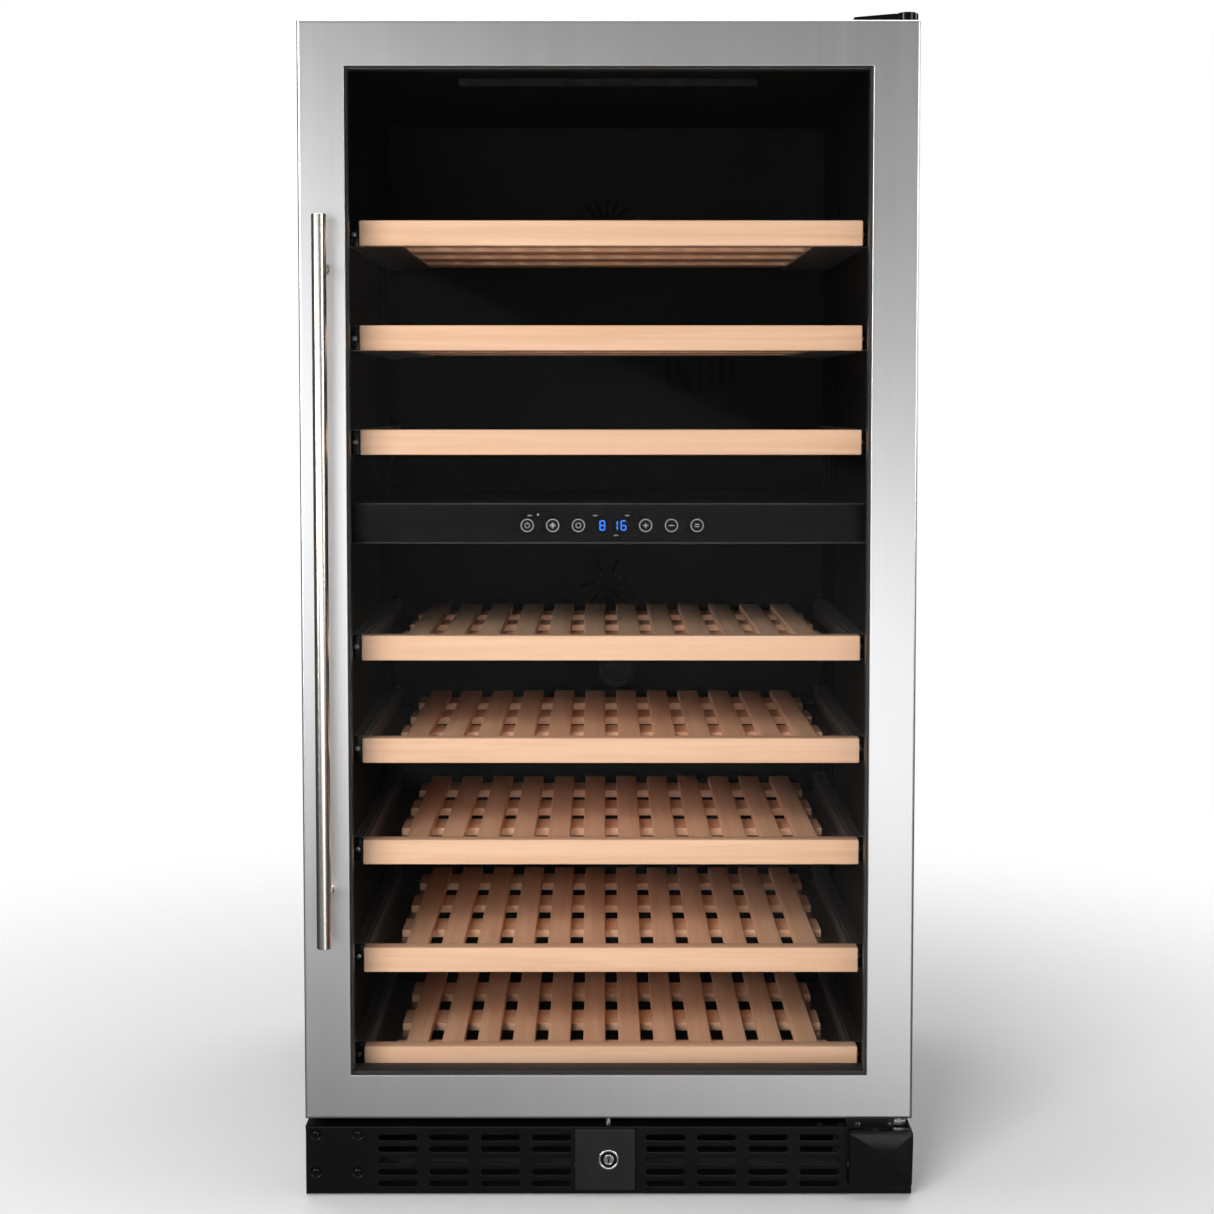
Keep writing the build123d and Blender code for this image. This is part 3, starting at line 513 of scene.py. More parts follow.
def ring_cell(cell, hole, corner, rows, level, facing=FRONT):
    """A flat cell with a formed hole in it.

    For a direction (cosine, sine) the hole's edge is its inner corner centre plus the corner
    radius times the direction; the cell's edge is the direction stretched on to the square.
    Each row lies at an offset outside the hole's edge and at a depth behind the cell's plane.
    The cell lies across Y or, when it faces up, across Z.
    """
    quarter = np.linspace(0, np.pi / 2, 9)
    turn = np.concatenate([quarter + k * np.pi / 2 for k in range(4)])
    sign = np.repeat([(1, 1), (-1, 1), (-1, -1), (1, -1)], len(quarter), axis=0)
    way = np.stack([np.cos(turn), np.sin(turn)], -1)
    cell, hole = np.asarray(cell, float), np.asarray(hole, float)
    middle, half = hole.mean(0), (hole[1] - hole[0]) / 2
    edge = middle + sign * (half - corner) + corner * way
    square = way / np.abs(way).max(1, keepdims=True)
    rim = np.where(square > 0, middle + square * (cell[1] - middle), middle + square * (middle - cell[0]))
    offsets, depths = np.asarray(rows, float).T
    flat = np.concatenate([edge + offsets[:, None, None] * way, rim[None]])
    deep = level - sum(facing) * np.concatenate([depths, [0.0]])[:, None] + np.zeros(len(turn))
    if facing[2]:
        return patch(np.stack([flat[..., 0], flat[..., 1], deep], -1), facing, True)
    return patch(np.stack([flat[..., 0], deep, flat[..., 1]], -1), facing, True)


def panel(low, high, level, facing=FRONT):
    """A flat rectangle in X and Z at a depth in Y."""
    corners = [[(low[0], level, low[1]), (high[0], level, low[1])],
               [(low[0], level, high[1]), (high[0], level, high[1])]]
    return patch(np.array(corners), facing)


def bent(profile, low, high, facing):
    """An open profile of (y, z) pairs carried straight along X."""
    profile = np.asarray(profile, float)
    ends = np.array([low, high])
    grid = np.empty((len(profile), 2, 3))
    grid[..., 0] = ends
    grid[..., 1:] = profile[:, None, :]
    return patch(grid, facing)


# ---------------------------------------------------------------- settings
class CoolerPlinth(bpy.types.PropertyGroup):
    """Sizes of the pressed plinth sheet."""

    sheet: FloatProperty(name="Sheet", description="Thickness of the plinth sheet", default=0.0015,
                         unit="LENGTH")
    slot: FloatVectorProperty(name="Slot", description="Length and height of one slot", size=2,
                              default=(0.038, 0.0052), unit="LENGTH")
    pitch: FloatVectorProperty(name="Pitch", description="Distance between columns and between rows",
                               size=2, default=(0.0503, 0.0115), unit="LENGTH")
    field: FloatVectorProperty(name="Field", description="Middle of each field of slots", size=2,
                               default=(0.1314, 0.0352), unit="LENGTH")
    bend: FloatProperty(name="Bend", description="Radius of the folded edges", default=0.002, unit="LENGTH")
    dimple: FloatProperty(name="Dimple", description="Depth of the dimples round the screws",
                          default=0.0012, unit="LENGTH")


class CoolerRack(bpy.types.PropertyGroup):
    """Sizes of one wooden shelf."""

    board: FloatProperty(name="Board", description="Thickness of the front board", default=0.018,
                         unit="LENGTH")
    timber: FloatProperty(name="Timber", description="Thickness of rails and slats", default=0.008,
                          unit="LENGTH")
    slats: IntProperty(name="Slats", description="Number of long slats", default=12)
    slat: FloatVectorProperty(name="Slat", description="Width and pitch of the slats", size=2,
                              default=(0.023, 0.0363), unit="LENGTH")
    rail: FloatVectorProperty(name="Rail", description="Width and pitch of the cross rails", size=2,
                              default=(0.050, 0.107), unit="LENGTH")
    rack: FloatVectorProperty(name="Rack", description="Middle and half width of the slatted part", size=2,
                              default=(0.004, 0.223), unit="LENGTH")


class CoolerStage(bpy.types.PropertyGroup):
    """Camera, lights and floor."""

    eye: FloatVectorProperty(name="Eye", description="Where the camera stands", size=3,
                             default=(-0.008, -2.2665, 0.780), unit="LENGTH", subtype="TRANSLATION")
    lens: FloatProperty(name="Lens", description="Focal length in millimetres", default=61.64)
    nod: FloatProperty(name="Nod", description="How far the camera looks down", default=0.058,
                       subtype="ANGLE")
    shift: FloatVectorProperty(name="Shift", description="Shift of the picture", size=2,
                               default=(0.0054, -0.070))
    key: FloatProperty(name="Key", description="Power of the wide front light in watts", default=19.0)
    tilt: FloatProperty(name="Tilt", description="Turn of the front light about its own axis",
                        default=-0.43, subtype="ANGLE")
    side: FloatVectorProperty(name="Side", description="Power of the left and the right light in watts",
                              size=2, default=(82.0, 36.0))
    rim: FloatProperty(name="Rim", description="Power of the light beside the hinge side in watts",
                       default=26.0)
    fill: FloatProperty(name="Fill", description="Power of the matt front light in watts", default=56.0)
    top: FloatProperty(name="Top", description="Power of the top light in watts", default=84.0)
    world: FloatProperty(name="World", description="Strength of the surroundings", default=0.17)
    flags: FloatProperty(name="Flags", description="How far the surroundings dim to both sides",
                         default=0.75)


# ---------------------------------------------------------------- pieces
# X and Z of the four screws in the plinth's dimples.
PLINTH_SCREWS = ((-0.2873, -0.2465), (0.0240, 0.0616))
SHELVES = range(1, 9)


def finish_nodes():
    """Every CAD node wears the finish of its slot."""
    for part in frame["record"]["subparts"]:
        mesh = frame["nodes"][part["node"]].data
        mesh.materials.clear()
        mesh.materials.append(material(part["material_slot"]))


def make_plinth(sizes):
    """The pressed plinth sheet: formed slots, dimples, folded top, bottom and left edges.

    A fold is a quarter circle: the bend's radius less its product with the cosine of the turn
    goes back from the face, and its product with the sine goes towards the fold.
    """
    low, high = box("plinth_grille")
    lock_low, lock_high = box("lock_housing")
    bolt_low, bolt_high = box("lock_bolt")
    level, bend, pitch = low[1], sizes.bend, sizes.pitch
    bay = box("hinge_covers")[0][0] - 0.5 * MM
    gap = 0.3 * MM
    columns, rows = 4, 5
    field_low = sizes.field[1] - rows / 2 * pitch[1]
    field_high = sizes.field[1] + rows / 2 * pitch[1]
    left_edge = -sizes.field[0] - columns / 2 * pitch[0]
    patches = []
    lip = [(0.0, 0.0013), (0.0001, 0.0006), (0.0005, 0.00015), (0.0013, 0.0), (0.0017, 0.0)]
    slot_corner = 0.0024
    half = np.array(sizes.slot) / 2
    last_column = {-1: lock_low[0] - gap, 1: bay}
    for side in (-1, 1):
        for column in range(columns):
            x = side * sizes.field[0] + (column - 1.5) * pitch[0]
            x_high = last_column[side] if column == columns - 1 else x + pitch[0] / 2
            for row in range(rows):
                z = sizes.field[1] + (row - 2) * pitch[1]
                cell = [(x - pitch[0] / 2, z - pitch[1] / 2), (x_high, z + pitch[1] / 2)]
                patches.append(ring_cell(cell, [(x, z) - half, (x, z) + half], slot_corner, lip, level))
    screw_x, screw_z = PLINTH_SCREWS
    hole_radius = 1.85 * MM
    dish = [(0.0, sizes.dimple), (0.0022, sizes.dimple), (0.0026, sizes.dimple * 0.94),
            (0.0031, sizes.dimple * 0.55), (0.0036, sizes.dimple * 0.12), (0.0041, 0.0), (0.0044, 0.0)]
    fold = high[2] - bend
    x_marks = (low[0] + bend, sum(screw_x) / 2, left_edge)
    z_marks = (field_low, sum(screw_z) / 2, fold)
    for i, x in enumerate(screw_x):
        for j, z in enumerate(screw_z):
            cell = [(x_marks[i], z_marks[j]), (x_marks[i + 1], z_marks[j + 1])]
            hole = [(x - hole_radius, z - hole_radius), (x + hole_radius, z + hole_radius)]
            patches.append(ring_cell(cell, hole, hole_radius, dish, level))
    cover_foot = 0.013
    right_field = sizes.field[0] - columns / 2 * pitch[0]
    patches.append(panel((left_edge, field_high), (bay, fold), level))
    patches.append(panel((low[0] + bend, low[2] + bend), (high[0], field_low), level))
    patches.append(panel((lock_high[0] + gap, field_low), (right_field, field_high), level))
    patches.append(panel((bay, field_low), (high[0], cover_foot), level))
    turn = np.linspace(0, np.pi / 2, 7)
    back, reach = level + bend - bend * np.cos(turn), bend * np.sin(turn)
    under = box("foot_front_left")[0][1] - 4 * MM
    bottom = np.stack([back, low[2] + bend - reach], -1)
    patches.append(bent(np.concatenate([bottom, [(under, low[2])]]), low[0] + bend, high[0], (0, -1, -1)))
    patches.append(bent(np.stack([back, fold + reach], -1), low[0], bay, (0, -1, 1)))
    play = np.array([0.5, 0.5]) * MM
    hole = [bolt_low[:2] - play, bolt_high[:2] + play]
    cell = [(lock_low[0], level + bend), (lock_high[0], high[1])]
    rim = (hole[1][0] - hole[0][0]) / 2
    patches.append(ring_cell(cell, hole, rim, [(0, 0), (0.001, 0)], high[2], (0, 0, 1)))
    for x_low, x_high in ((low[0], lock_low[0]), (lock_high[0], bay)):
        patches.append(bent([(level + bend, high[2]), (high[1], high[2])], x_low, x_high, (0, 0, 1)))
    side = np.empty((len(turn) + 1, 2, 3))
    side[:-1, :, 0] = (low[0] + bend - reach)[:, None]
    side[:-1, :, 1] = back[:, None]
    side[-1, :, 0], side[-1, :, 1] = low[0], high[1]
    side[..., 2] = (low[2], fold)
    patches.append(patch(side, (-1, -1, 0)))
    piece("plinth_sheet", patches, "plinth_black", "cabinet", ["plinth_grille"], thick=sizes.sheet)


def screw_head(place, axis, radius=0.0036, high=0.0021, outward=-1):
    """A pan head with a cross recess.

    Height is a dome with a rounded rim; it drops by a smooth step where the distance from
    either arm's line is under the arm's half width and the radius is under the arm's length.
    """
    rows = np.concatenate([np.linspace(0, 0.62, 22), np.linspace(0.66, 1.0, 12)]) * radius
    turn = np.linspace(0, FULL_TURN, 96, endpoint=False)
    r, a = np.meshgrid(rows, turn, indexing="ij")
    u, v = r * np.cos(a), r * np.sin(a)
    dome = high * (1 - (r / radius) ** 6) ** 0.5 * (1 - 0.18 * (r / radius) ** 2)
    arm = np.minimum(np.abs(u), np.abs(v)) / radius
    deep = np.clip((0.17 - arm) / 0.05, 0, 1) * np.clip((0.56 - r / radius) / 0.08, 0, 1)
    height = outward * (dome - deep * high * 0.75)
    order = {"Y": (u, height, v), "Z": (u, v, height)}[axis]
    facing = {"Y": (0, outward, 0), "Z": (0, 0, outward)}[axis]
    return patch(np.stack(order, -1) + np.asarray(place), facing, True)


def make_screws(sizes):
    """Screw heads: four in the plinth's dimples, the hinge brackets' and the door plate's."""
    face = box("plinth_grille")[0][1] + sizes.dimple
    dark = [screw_head((x, face, z), "Y") for x in PLINTH_SCREWS[0] for z in PLINTH_SCREWS[1]]
    piece("plinth_screws", dark, "cover_black", "cabinet", sharp=40.0)
    bracket = box("outer_wrap")[0][1] - 3.5 * MM
    top = box("cabinet_screws")[1][2] - 2 * MM
    heads = [screw_head((x, bracket, z), "Y") for x in (0.250, 0.284) for z in (0.032, 0.054)]
    heads += [screw_head((0.262, y, top), "Z", outward=1) for y in (-0.195, -0.165)]
    piece("screw_heads", heads, "screw_steel", "cabinet", ["cabinet_screws"], sharp=40.0)
    plate_low, plate_high = box("door_bottom_plate")
    middle, plate = (plate_low[1] + plate_high[1]) / 2, plate_low[2] + 2.2 * MM
    under = [screw_head((x, middle, plate), "Z", high=0.0023) for x in (0.209, 0.2305, 0.265)]
    piece("door_plate_screws", under, "screw_steel", "door", sharp=40.0)


def make_lock():
    """The lock's ring and barrel with its keyway, turned about the cylinder's axis.

    The keyway's edge is a circle clipped to the slot's half width and half length; the rows
    outside it grow into the barrel's round edge.
    """
    low, high = box("lock_cylinder")
    x, z = (low[0] + high[0]) / 2, (low[2] + high[2]) / 2
    face, end = low[1], high[1] - low[1]
    outer = (high[0] - low[0]) / 2
    corners = [(0.0, end), (0.008, end), (0.008, 0.002), (outer, 0.002), (outer, 0.0), (0.008, 0.0),
               (0.0075, 0.0036), (0.0053, 0.0036), (0.0050, 0.0007)]
    radii = [0.0, 0.0003, 0.0002, 0.0002, 0.0008, 0.0007, 0.0004, 0.0002, 0.0]
    ring = lathe(rounded(corners, radii, 6, closed=False), (x, face, z), "Y")
    turn = np.linspace(0, FULL_TURN, 96, endpoint=False)
    edge = np.stack([np.cos(turn), np.sin(turn)], -1)
    key = np.array([0.0009, 0.0034])
    slot = np.clip(edge * 0.0060, -key, key)
    rows = [slot * 0.98, slot, slot * 1.08 + edge * 0.0001, edge * 0.0046, edge * 0.0049, edge * 0.0050]
    depth = np.array([0.0045, 0.0010, 0.0007, 0.0004, 0.0005, 0.0007])
    grid = np.empty((len(rows), len(turn), 3))
    grid[..., 0::2] = np.stack(rows) + (x, z)
    grid[..., 1] = face + depth[:, None]
    piece("lock_barrel", [ring, patch(grid, FRONT, True)], "chrome", "lock_cylinder", ["lock_cylinder"])
    # Painted shade: a black flat ring laid over the recess between the outer ring and the barrel, standing
    # for the shade there.
    shade_ring = lathe([(0.0051, 0.0030), (0.0077, 0.0030)], (x, face, z), "Y", closed=False)
    piece("lock_painted_shade", [shade_ring], "cover_black", "lock_cylinder", thick=0.0004)


def make_handle():
    """The round bar with flat cut ends, and its two stand-offs, each with a collar at the door."""
    low, high = box("handle_bar")
    centre = ((low[0] + high[0]) / 2, (low[1] + high[1]) / 2, 0.0)
    radius = (high[0] - low[0]) / 2
    ease = 0.0005
    shaft = np.linspace(low[2] + ease, high[2] - ease, 90)
    straight = np.stack([np.full_like(shaft, radius), shaft], -1)
    profile = np.concatenate([[(0, low[2]), (radius - ease, low[2])], straight,
                              [(radius - ease, high[2]), (0, high[2])]])
    piece("handle_tube", [lathe(profile, centre, "Z", 128)], "handle_steel", "door", ["handle_bar"])
    post_low, post_high = box("handle_posts")
    door = box("door_skin")[0][1]
    thick = (post_high[0] - post_low[0]) / 2
    tip = post_low[1] + 2 * MM
    shank = [(0.0, tip), (thick - 0.0004, tip), (thick, tip + 0.0004), (thick, door - 0.0030),
             (thick + 0.0009, door - 0.0022), (thick + 0.0011, door - 0.0004),
             (thick + 0.0008, door), (0.0025, door), (0.0025, post_high[1]), (0.0, post_high[1])]
    posts = [lathe(shank, ((post_low[0] + post_high[0]) / 2, 0.0, z), "Y", 64)
             for z in (post_low[2] + thick, post_high[2] - thick)]
    piece("handle_standoffs", posts, "handle_steel", "door", ["handle_posts"])


def make_gasket():
    """The magnetic seal: a bellows section carried round a rectangle with mitred corners.

    Each side of the rectangle lies inside the seal's box by the section's own inset.
    """
    low, high = box("gasket")
    half = np.array([(11.6, 0), (11.6, 2.2), (9.3, 3.1), (9.3, 4.3), (11.9, 5.4), (11.9, 9.3), (8.5, 9.8)])
    mirrored = half[::-1] * (-1, 1) + (12, 0)
    section = rounded(np.concatenate([half, mirrored]) * MM, 0.9 * MM, 4)
    inset, rise = section[:, 0], section[:, 1] * (high[1] - low[1]) / (9.8 * MM)
    ring = np.empty((len(section) + 1, 4, 3))
    rows = np.append(np.arange(len(section)), 0)
    left, right = low[0] + inset[rows], high[0] - inset[rows]
    floor, ceiling = low[2] + inset[rows], high[2] - inset[rows]
    ring[..., 0] = np.stack([left, right, right, left], -1)
    ring[..., 1] = (low[1] + rise[rows])[:, None]
    ring[..., 2] = np.stack([floor, floor, ceiling, ceiling], -1)
    piece("door_seal", [patch(ring, None, True)], "gasket_rubber", "door", ["gasket"])


def blade_set(centre, hub, tip, count, axial):
    """Curved fan blades.

    Along the span s and round the section t, the turn about the axis is the blade's own angle
    plus sweep times s plus chord times the cosine of t; the depth is pitch times that cosine
    plus camber plus half the thickness times the sine of t.
    """
    s = np.linspace(0, 1, 14)[:, None]
    t = np.linspace(0, FULL_TURN, 36, endpoint=False)[None, :]
    radius = hub * 0.96 + (tip - hub * 0.96) * s
    chord = np.pi / count * (0.80 - 0.10 * s)
    lean = np.cos(t)
    depth = axial * (0.46 - 0.16 * s) * lean + axial * 0.10 * lean ** 2
    thick = (0.0014 - 0.0006 * s) * np.sqrt(np.clip(1 - lean ** 2, 0, 1)) * np.sign(np.sin(t))
    blades = []
    for k in range(count):
        angle = FULL_TURN * k / count + 0.45 * s ** 1.5 + chord * lean
        points = np.stack([radius * np.cos(angle), depth + thick, radius * np.sin(angle)], -1)
        ends = points.mean(1, keepdims=True)[[0, -1]] + np.zeros((2, points.shape[1], 3))
        grid = np.concatenate([ends[:1], points, ends[1:]])
        blades.append(patch(grid + np.asarray(centre), None, True))
    return blades


def make_fans():
    """The rotors of the two air fans and of the condenser fan."""
    for node, count in (("upper_fan", 7), ("lower_fan", 7), ("condenser_fan", 5)):
        low, high = box(node)
        middle = (low + high) / 2
        tip = (high[0] - low[0]) / 2
        axial = (high[1] - low[1]) * 0.80
        hub, half = 0.013, axial / 2
        bore, boss, shell = 0.0031, 0.0055, 0.0105
        corners = [(bore, -half), (hub, -half), (hub, half), (shell, half), (shell, -half * 0.4),
                   (boss, -half * 0.4), (boss, half * 0.8), (bore, half * 0.8), (bore, -half)]
        radii = [0.0, 0.0025, 0.0008, 0.0005, 0.0005, 0.0005, 0.0005, 0.0002, 0.0]
        profile = rounded(corners, radii, 5, closed=False)
        parts = [lathe(profile, middle, "Y", 72)] + blade_set(middle, hub, tip * 0.985, count, axial)
        piece(node + "_rotor", parts, "fan_black", node, [node])


def make_filter():
    """The twist-in filter cap with concentric ribs and a grip across the middle.

    The face's depth is a dish that rises by a straight step near its rim, plus the ribs'
    height times the cosine of the radius over their pitch.
    """
    low, high = box("charcoal_filter")
    x, z = (low[0] + high[0]) / 2, (low[2] + high[2]) / 2
    outer, body, end = (high[0] - low[0]) / 2, 0.0170, high[1] - low[1]
    radius = np.linspace(0, outer - 0.0012, 140)
    rib, rib_pitch, hub = 0.0006, 0.0035, 0.004
    ribs = rib * np.cos(radius * FULL_TURN / rib_pitch) * (radius > hub)
    dish = 0.0022 * (1 - np.clip((radius - 0.0125) / 0.0022, 0, 1)) + rib
    rim = [(outer - 0.0005, 0.0002), (outer, 0.001), (outer, 0.006), (body, 0.006), (body, end), (0.0, end)]
    profile = np.concatenate([np.stack([radius, dish + ribs], -1), rim])
    grip_low = (x - 0.0130, low[1] + 0.0002, z - 0.0020)
    grip_high = (x + 0.0130, low[1] + 0.0035, z + 0.0020)
    parts = [lathe(profile, (x, low[1], z), "Y", 120), pad(grip_low, grip_high, 0.0009)]
    piece("filter_cap", parts, "filter_grey", "charcoal_filter", ["charcoal_filter"])


def make_covers():
    """The hinge covers: a wedge with a round boss on top, a bevelled box below the door."""
    low, high = box("hinge_covers")
    left, right, top = low[0], high[0], high[2]
    cab_low, cab_high = box("outer_wrap")
    door = box("door_skin")[0][1]
    hinge_x, hinge_y = box("door_bushes")[1][0] - 0.007, door + 0.0215
    wedge_left, wedge_back, foot, boss_radius = 0.236, -0.145, cab_high[2] + 0.0001, 0.00925
    wedge = [(wedge_left, foot + 0.0030), (0.249, foot + 0.0030), (0.249, foot), (right, foot), (right, top),
             (0.275, top), (wedge_left, foot + 0.0046)]
    section = rounded(wedge, [0.0002, 0.0002, 0.0002, 0.0002, 0.0012, 0.004, 0.0004], 6)
    outline = [(0, foot), (boss_radius, foot), (boss_radius, top), (0.0078, top), (0.0074, top - 0.0005),
               (0, top - 0.0005)]
    boss = rounded(outline, [0, 0.0002, 0.0011, 0.0003, 0.0002, 0], 6, closed=False)
    web = rounded(rectangle((hinge_x - boss_radius, foot), (right, top)), 0.0008, 4)
    bottom, shelf, lower_top, lower_back = 0.0136, 0.0151, 0.067, door + 0.004
    face = [(left, bottom), (right - 0.0010, bottom), (right, lower_top - 0.010), (right, lower_top),
            (left, lower_top)]
    front = rounded(face, [0.0015, 0.003, 0.002, 0.0012, 0.0015], 6)
    rear, start = cab_low[1] - 0.004, lower_back - 0.001
    lid_low = (left + 0.003, low[1] + 0.0012, lower_top - 0.0010)
    lid_high = (right - 0.001, lower_back, lower_top + 0.0006)
    parts = [
        prism(section, hinge_y, wedge_back, 0.0006),
        lathe(boss, (hinge_x, hinge_y, 0), "Z", 96),
        prism(web, hinge_y, hinge_y + boss_radius, 0.0004),
        prism(front, low[1], lower_back, 0.0016),
        pad(lid_low, lid_high, 0.0005),
        pad((wedge_left, start, bottom), (right, rear, shelf), 0.0004),
        pad((right - 0.0015, start, bottom), (right, rear, lower_top), 0.0004),
    ]
    piece("hinge_caps", parts, "cover_black", "cabinet", ["hinge_covers"])


SEGMENTS = {"1": "bc", "6": "acdefg", "8": "abcdefg"}


def digit(text, place, high, level):
    """One seven-segment figure; each segment is a bar with pointed ends."""
    wide, thick = high * 0.52, high * 0.115
    ends = {"a": ((0, 1), (1, 1)), "b": ((1, 1), (1, 0.5)), "c": ((1, 0.5), (1, 0)), "d": ((0, 0), (1, 0)),
            "e": ((0, 0.5), (0, 0)), "f": ((0, 1), (0, 0.5)), "g": ((0, 0.5), (1, 0.5))}
    bars = []
    for key in SEGMENTS[text]:
        start, end = np.array(ends[key]) * (wide, high) + place
        way = (end - start) / np.linalg.norm(end - start)
        side = np.array([-way[1], way[0]]) * thick / 2
        start, end = start + way * thick * 0.15, end - way * thick * 0.15
        middle = [start, start + way * thick / 2, end - way * thick / 2, end]
        spread = np.array([0, 1, 1, 0])[:, None] * side
        grid = np.empty((2, 4, 3))
        grid[0][:, 0::2], grid[1][:, 0::2] = middle + spread, middle - spread
        grid[..., 1] = level
        bars.append(patch(grid, FRONT))
    return bars


def ring_mark(x, z, inner, outer, level, start=0.0, end=FULL_TURN):
    """A flat ring or part of one: the middle plus a radius times (cosine, sine) of the turn."""
    turn = np.linspace(start, end, 49)
    radius = np.array([inner, outer])[:, None]
    grid = np.empty((2, len(turn), 3))
    grid[..., 0] = x + radius * np.cos(turn)
    grid[..., 1] = level
    grid[..., 2] = z + radius * np.sin(turn)
    return patch(grid, FRONT)


def bar_mark(x, z, half_x, half_z, level):
    """A flat printed bar."""
    return panel((x - half_x, z - half_z), (x + half_x, z + half_z), level)


def make_marks():
    """Touch symbols, figures and edge lines on the control strip."""
    low, high = box("control_fascia")
    level = low[1] - 0.00006
    z = low[2] + 0.018
    power, light, zone, plus, minus, unit = -0.0807, -0.0554, -0.0299, 0.0369, 0.0625, 0.0880
    line, arm, dash, dash_rise = 0.0004, 0.0026, 0.0022, 0.0098
    marks = [ring_mark(x, z, 0.0057, 0.0064, level) for x in (power, light, zone, plus, minus, unit)]
    marks.append(ring_mark(power, z, 0.0021, 0.0027, level, 2.0, 7.4))
    marks.append(bar_mark(power, z + 0.0022, 0.0003, 0.0014, level))
    for turn in np.arange(4) * np.pi / 2:
        x, rise = light + 0.0019 * np.cos(turn), 0.0019 * np.sin(turn)
        marks.append(ring_mark(x, z + rise, 0.0005, 0.0010, level))
    marks.append(ring_mark(light, z, 0.0, 0.0009, level))
    for start, end in ((-1.2, 2.0), (2.2, 5.0)):
        marks.append(ring_mark(zone, z, 0.0022, 0.0028, level, start, end))
    marks += [bar_mark(x, z, arm, line, level) for x in (plus, minus)]
    marks.append(bar_mark(plus, z, line, arm, level))
    marks += [bar_mark(unit, z + rise, 0.0022, line, level) for rise in (0.0011, -0.0011)]
    for x, rise in ((-0.013, dash_rise), (0.0185, dash_rise), (-0.0780, dash_rise), (0.0075, -dash_rise)):
        marks.append(bar_mark(x, z + rise, dash, 0.0003, level))
    marks.append(bar_mark(-0.0700, z + 0.0108, 0.0008, 0.0008, level))
    piece("touch_marks", marks, "mark_white", "cabinet")
    lit = []
    for text, x in (("8", -0.0085), ("1", 0.0040), ("6", 0.0125)):
        lit += digit(text, (x, z - 0.0045), 0.0090, level)
    piece("lit_figures", lit, "mark_blue", "cabinet")
    rims = [pad((low[0] + 0.001, low[1] - 0.0002, foot), (high[0] - 0.001, low[1] + 0.0012, foot + 0.0009),
                0.0003)
            for foot in (low[2] + 0.0002, high[2] - 0.0011)]
    piece("fascia_edges", rims, "fascia_edge", "cabinet")


def make_racks(sizes):
    """Eight slatted shelves of beech, each timber with its own length of grain.

    The grain's coordinates are the distance from the timber's corner, along it first, plus a
    random shift, so that no two timbers show the same stretch of grain.
    """
    random = np.random.default_rng(8)
    rack_low, rack_high = sizes.rack[0] - sizes.rack[1], sizes.rack[0] + sizes.rack[1]
    grain_shift = 9.0
    for number in SHELVES:
        name = f"shelf_{number}_rack"
        low, high = box(name)
        start = low[1] + sizes.board
        rail_z = low[2] + 0.003
        slat_z = rail_z + sizes.timber
        timbers = [(low, (high[0], start, high[2]), 0, 0.0015)]
        rails = int((high[1] - start - 0.001) // sizes.rail[1]) + 1
        for k in range(rails):
            y = start + k * sizes.rail[1]
            back = min(y + sizes.rail[0], high[1])
            timbers.append(((rack_low, y + 0.0002, rail_z), (rack_high, back, slat_z), 0, 0.0008))
        for k in range(sizes.slats):
            x = sizes.rack[0] + (k - (sizes.slats - 1) / 2) * sizes.slat[1]
            half = sizes.slat[0] / 2
            slat_top = slat_z + sizes.timber
            timbers.append(((x - half, start, slat_z), (x + half, high[1], slat_top), 1, 0.0014))
        patches, grains = [], []
        for timber_low, timber_high, along, edge in timbers:
            points, faces = pad(timber_low, timber_high, edge)
            order = [along, 1 - along, 2]
            grains.append((points - timber_low)[:, order] + random.uniform(0, grain_shift, 3))
            patches.append((points, faces))
        piece(f"shelf_{number}_timbers", patches, "beech", f"shelf_{number}", [name],
              ("timber", np.concatenate(grains)))


def make_slide_caps():
    """Moulded caps with a screw on the front ends of the slides; they travel with the shelf."""
    runner_low, runner_high = box("shelf_runners")
    y, wall = runner_low[1], runner_high[0]
    front = y - 0.0060
    for number in SHELVES:
        rack_low, rack_high = box(f"shelf_{number}_rack")
        middle = (rack_low[2] + rack_high[2]) / 2
        z_low, z_high = middle - 0.0118, middle + 0.0118
        caps, heads = [], []
        for side in (-1, 1):
            inner, outer = sorted((side * (wall - 0.0100), side * (wall - 0.0002)))
            caps.append(pad((inner, front, z_low), (outer, y - 0.0004, z_high), 0.0012))
            heads.append(screw_head((side * (wall - 0.0052), front, middle), "Y", 0.0026, 0.0012))
        piece(f"shelf_{number}_slide_caps", caps, "cover_black", f"shelf_{number}")
        piece(f"shelf_{number}_cap_screws", heads, "screw_steel", f"shelf_{number}", sharp=40.0)


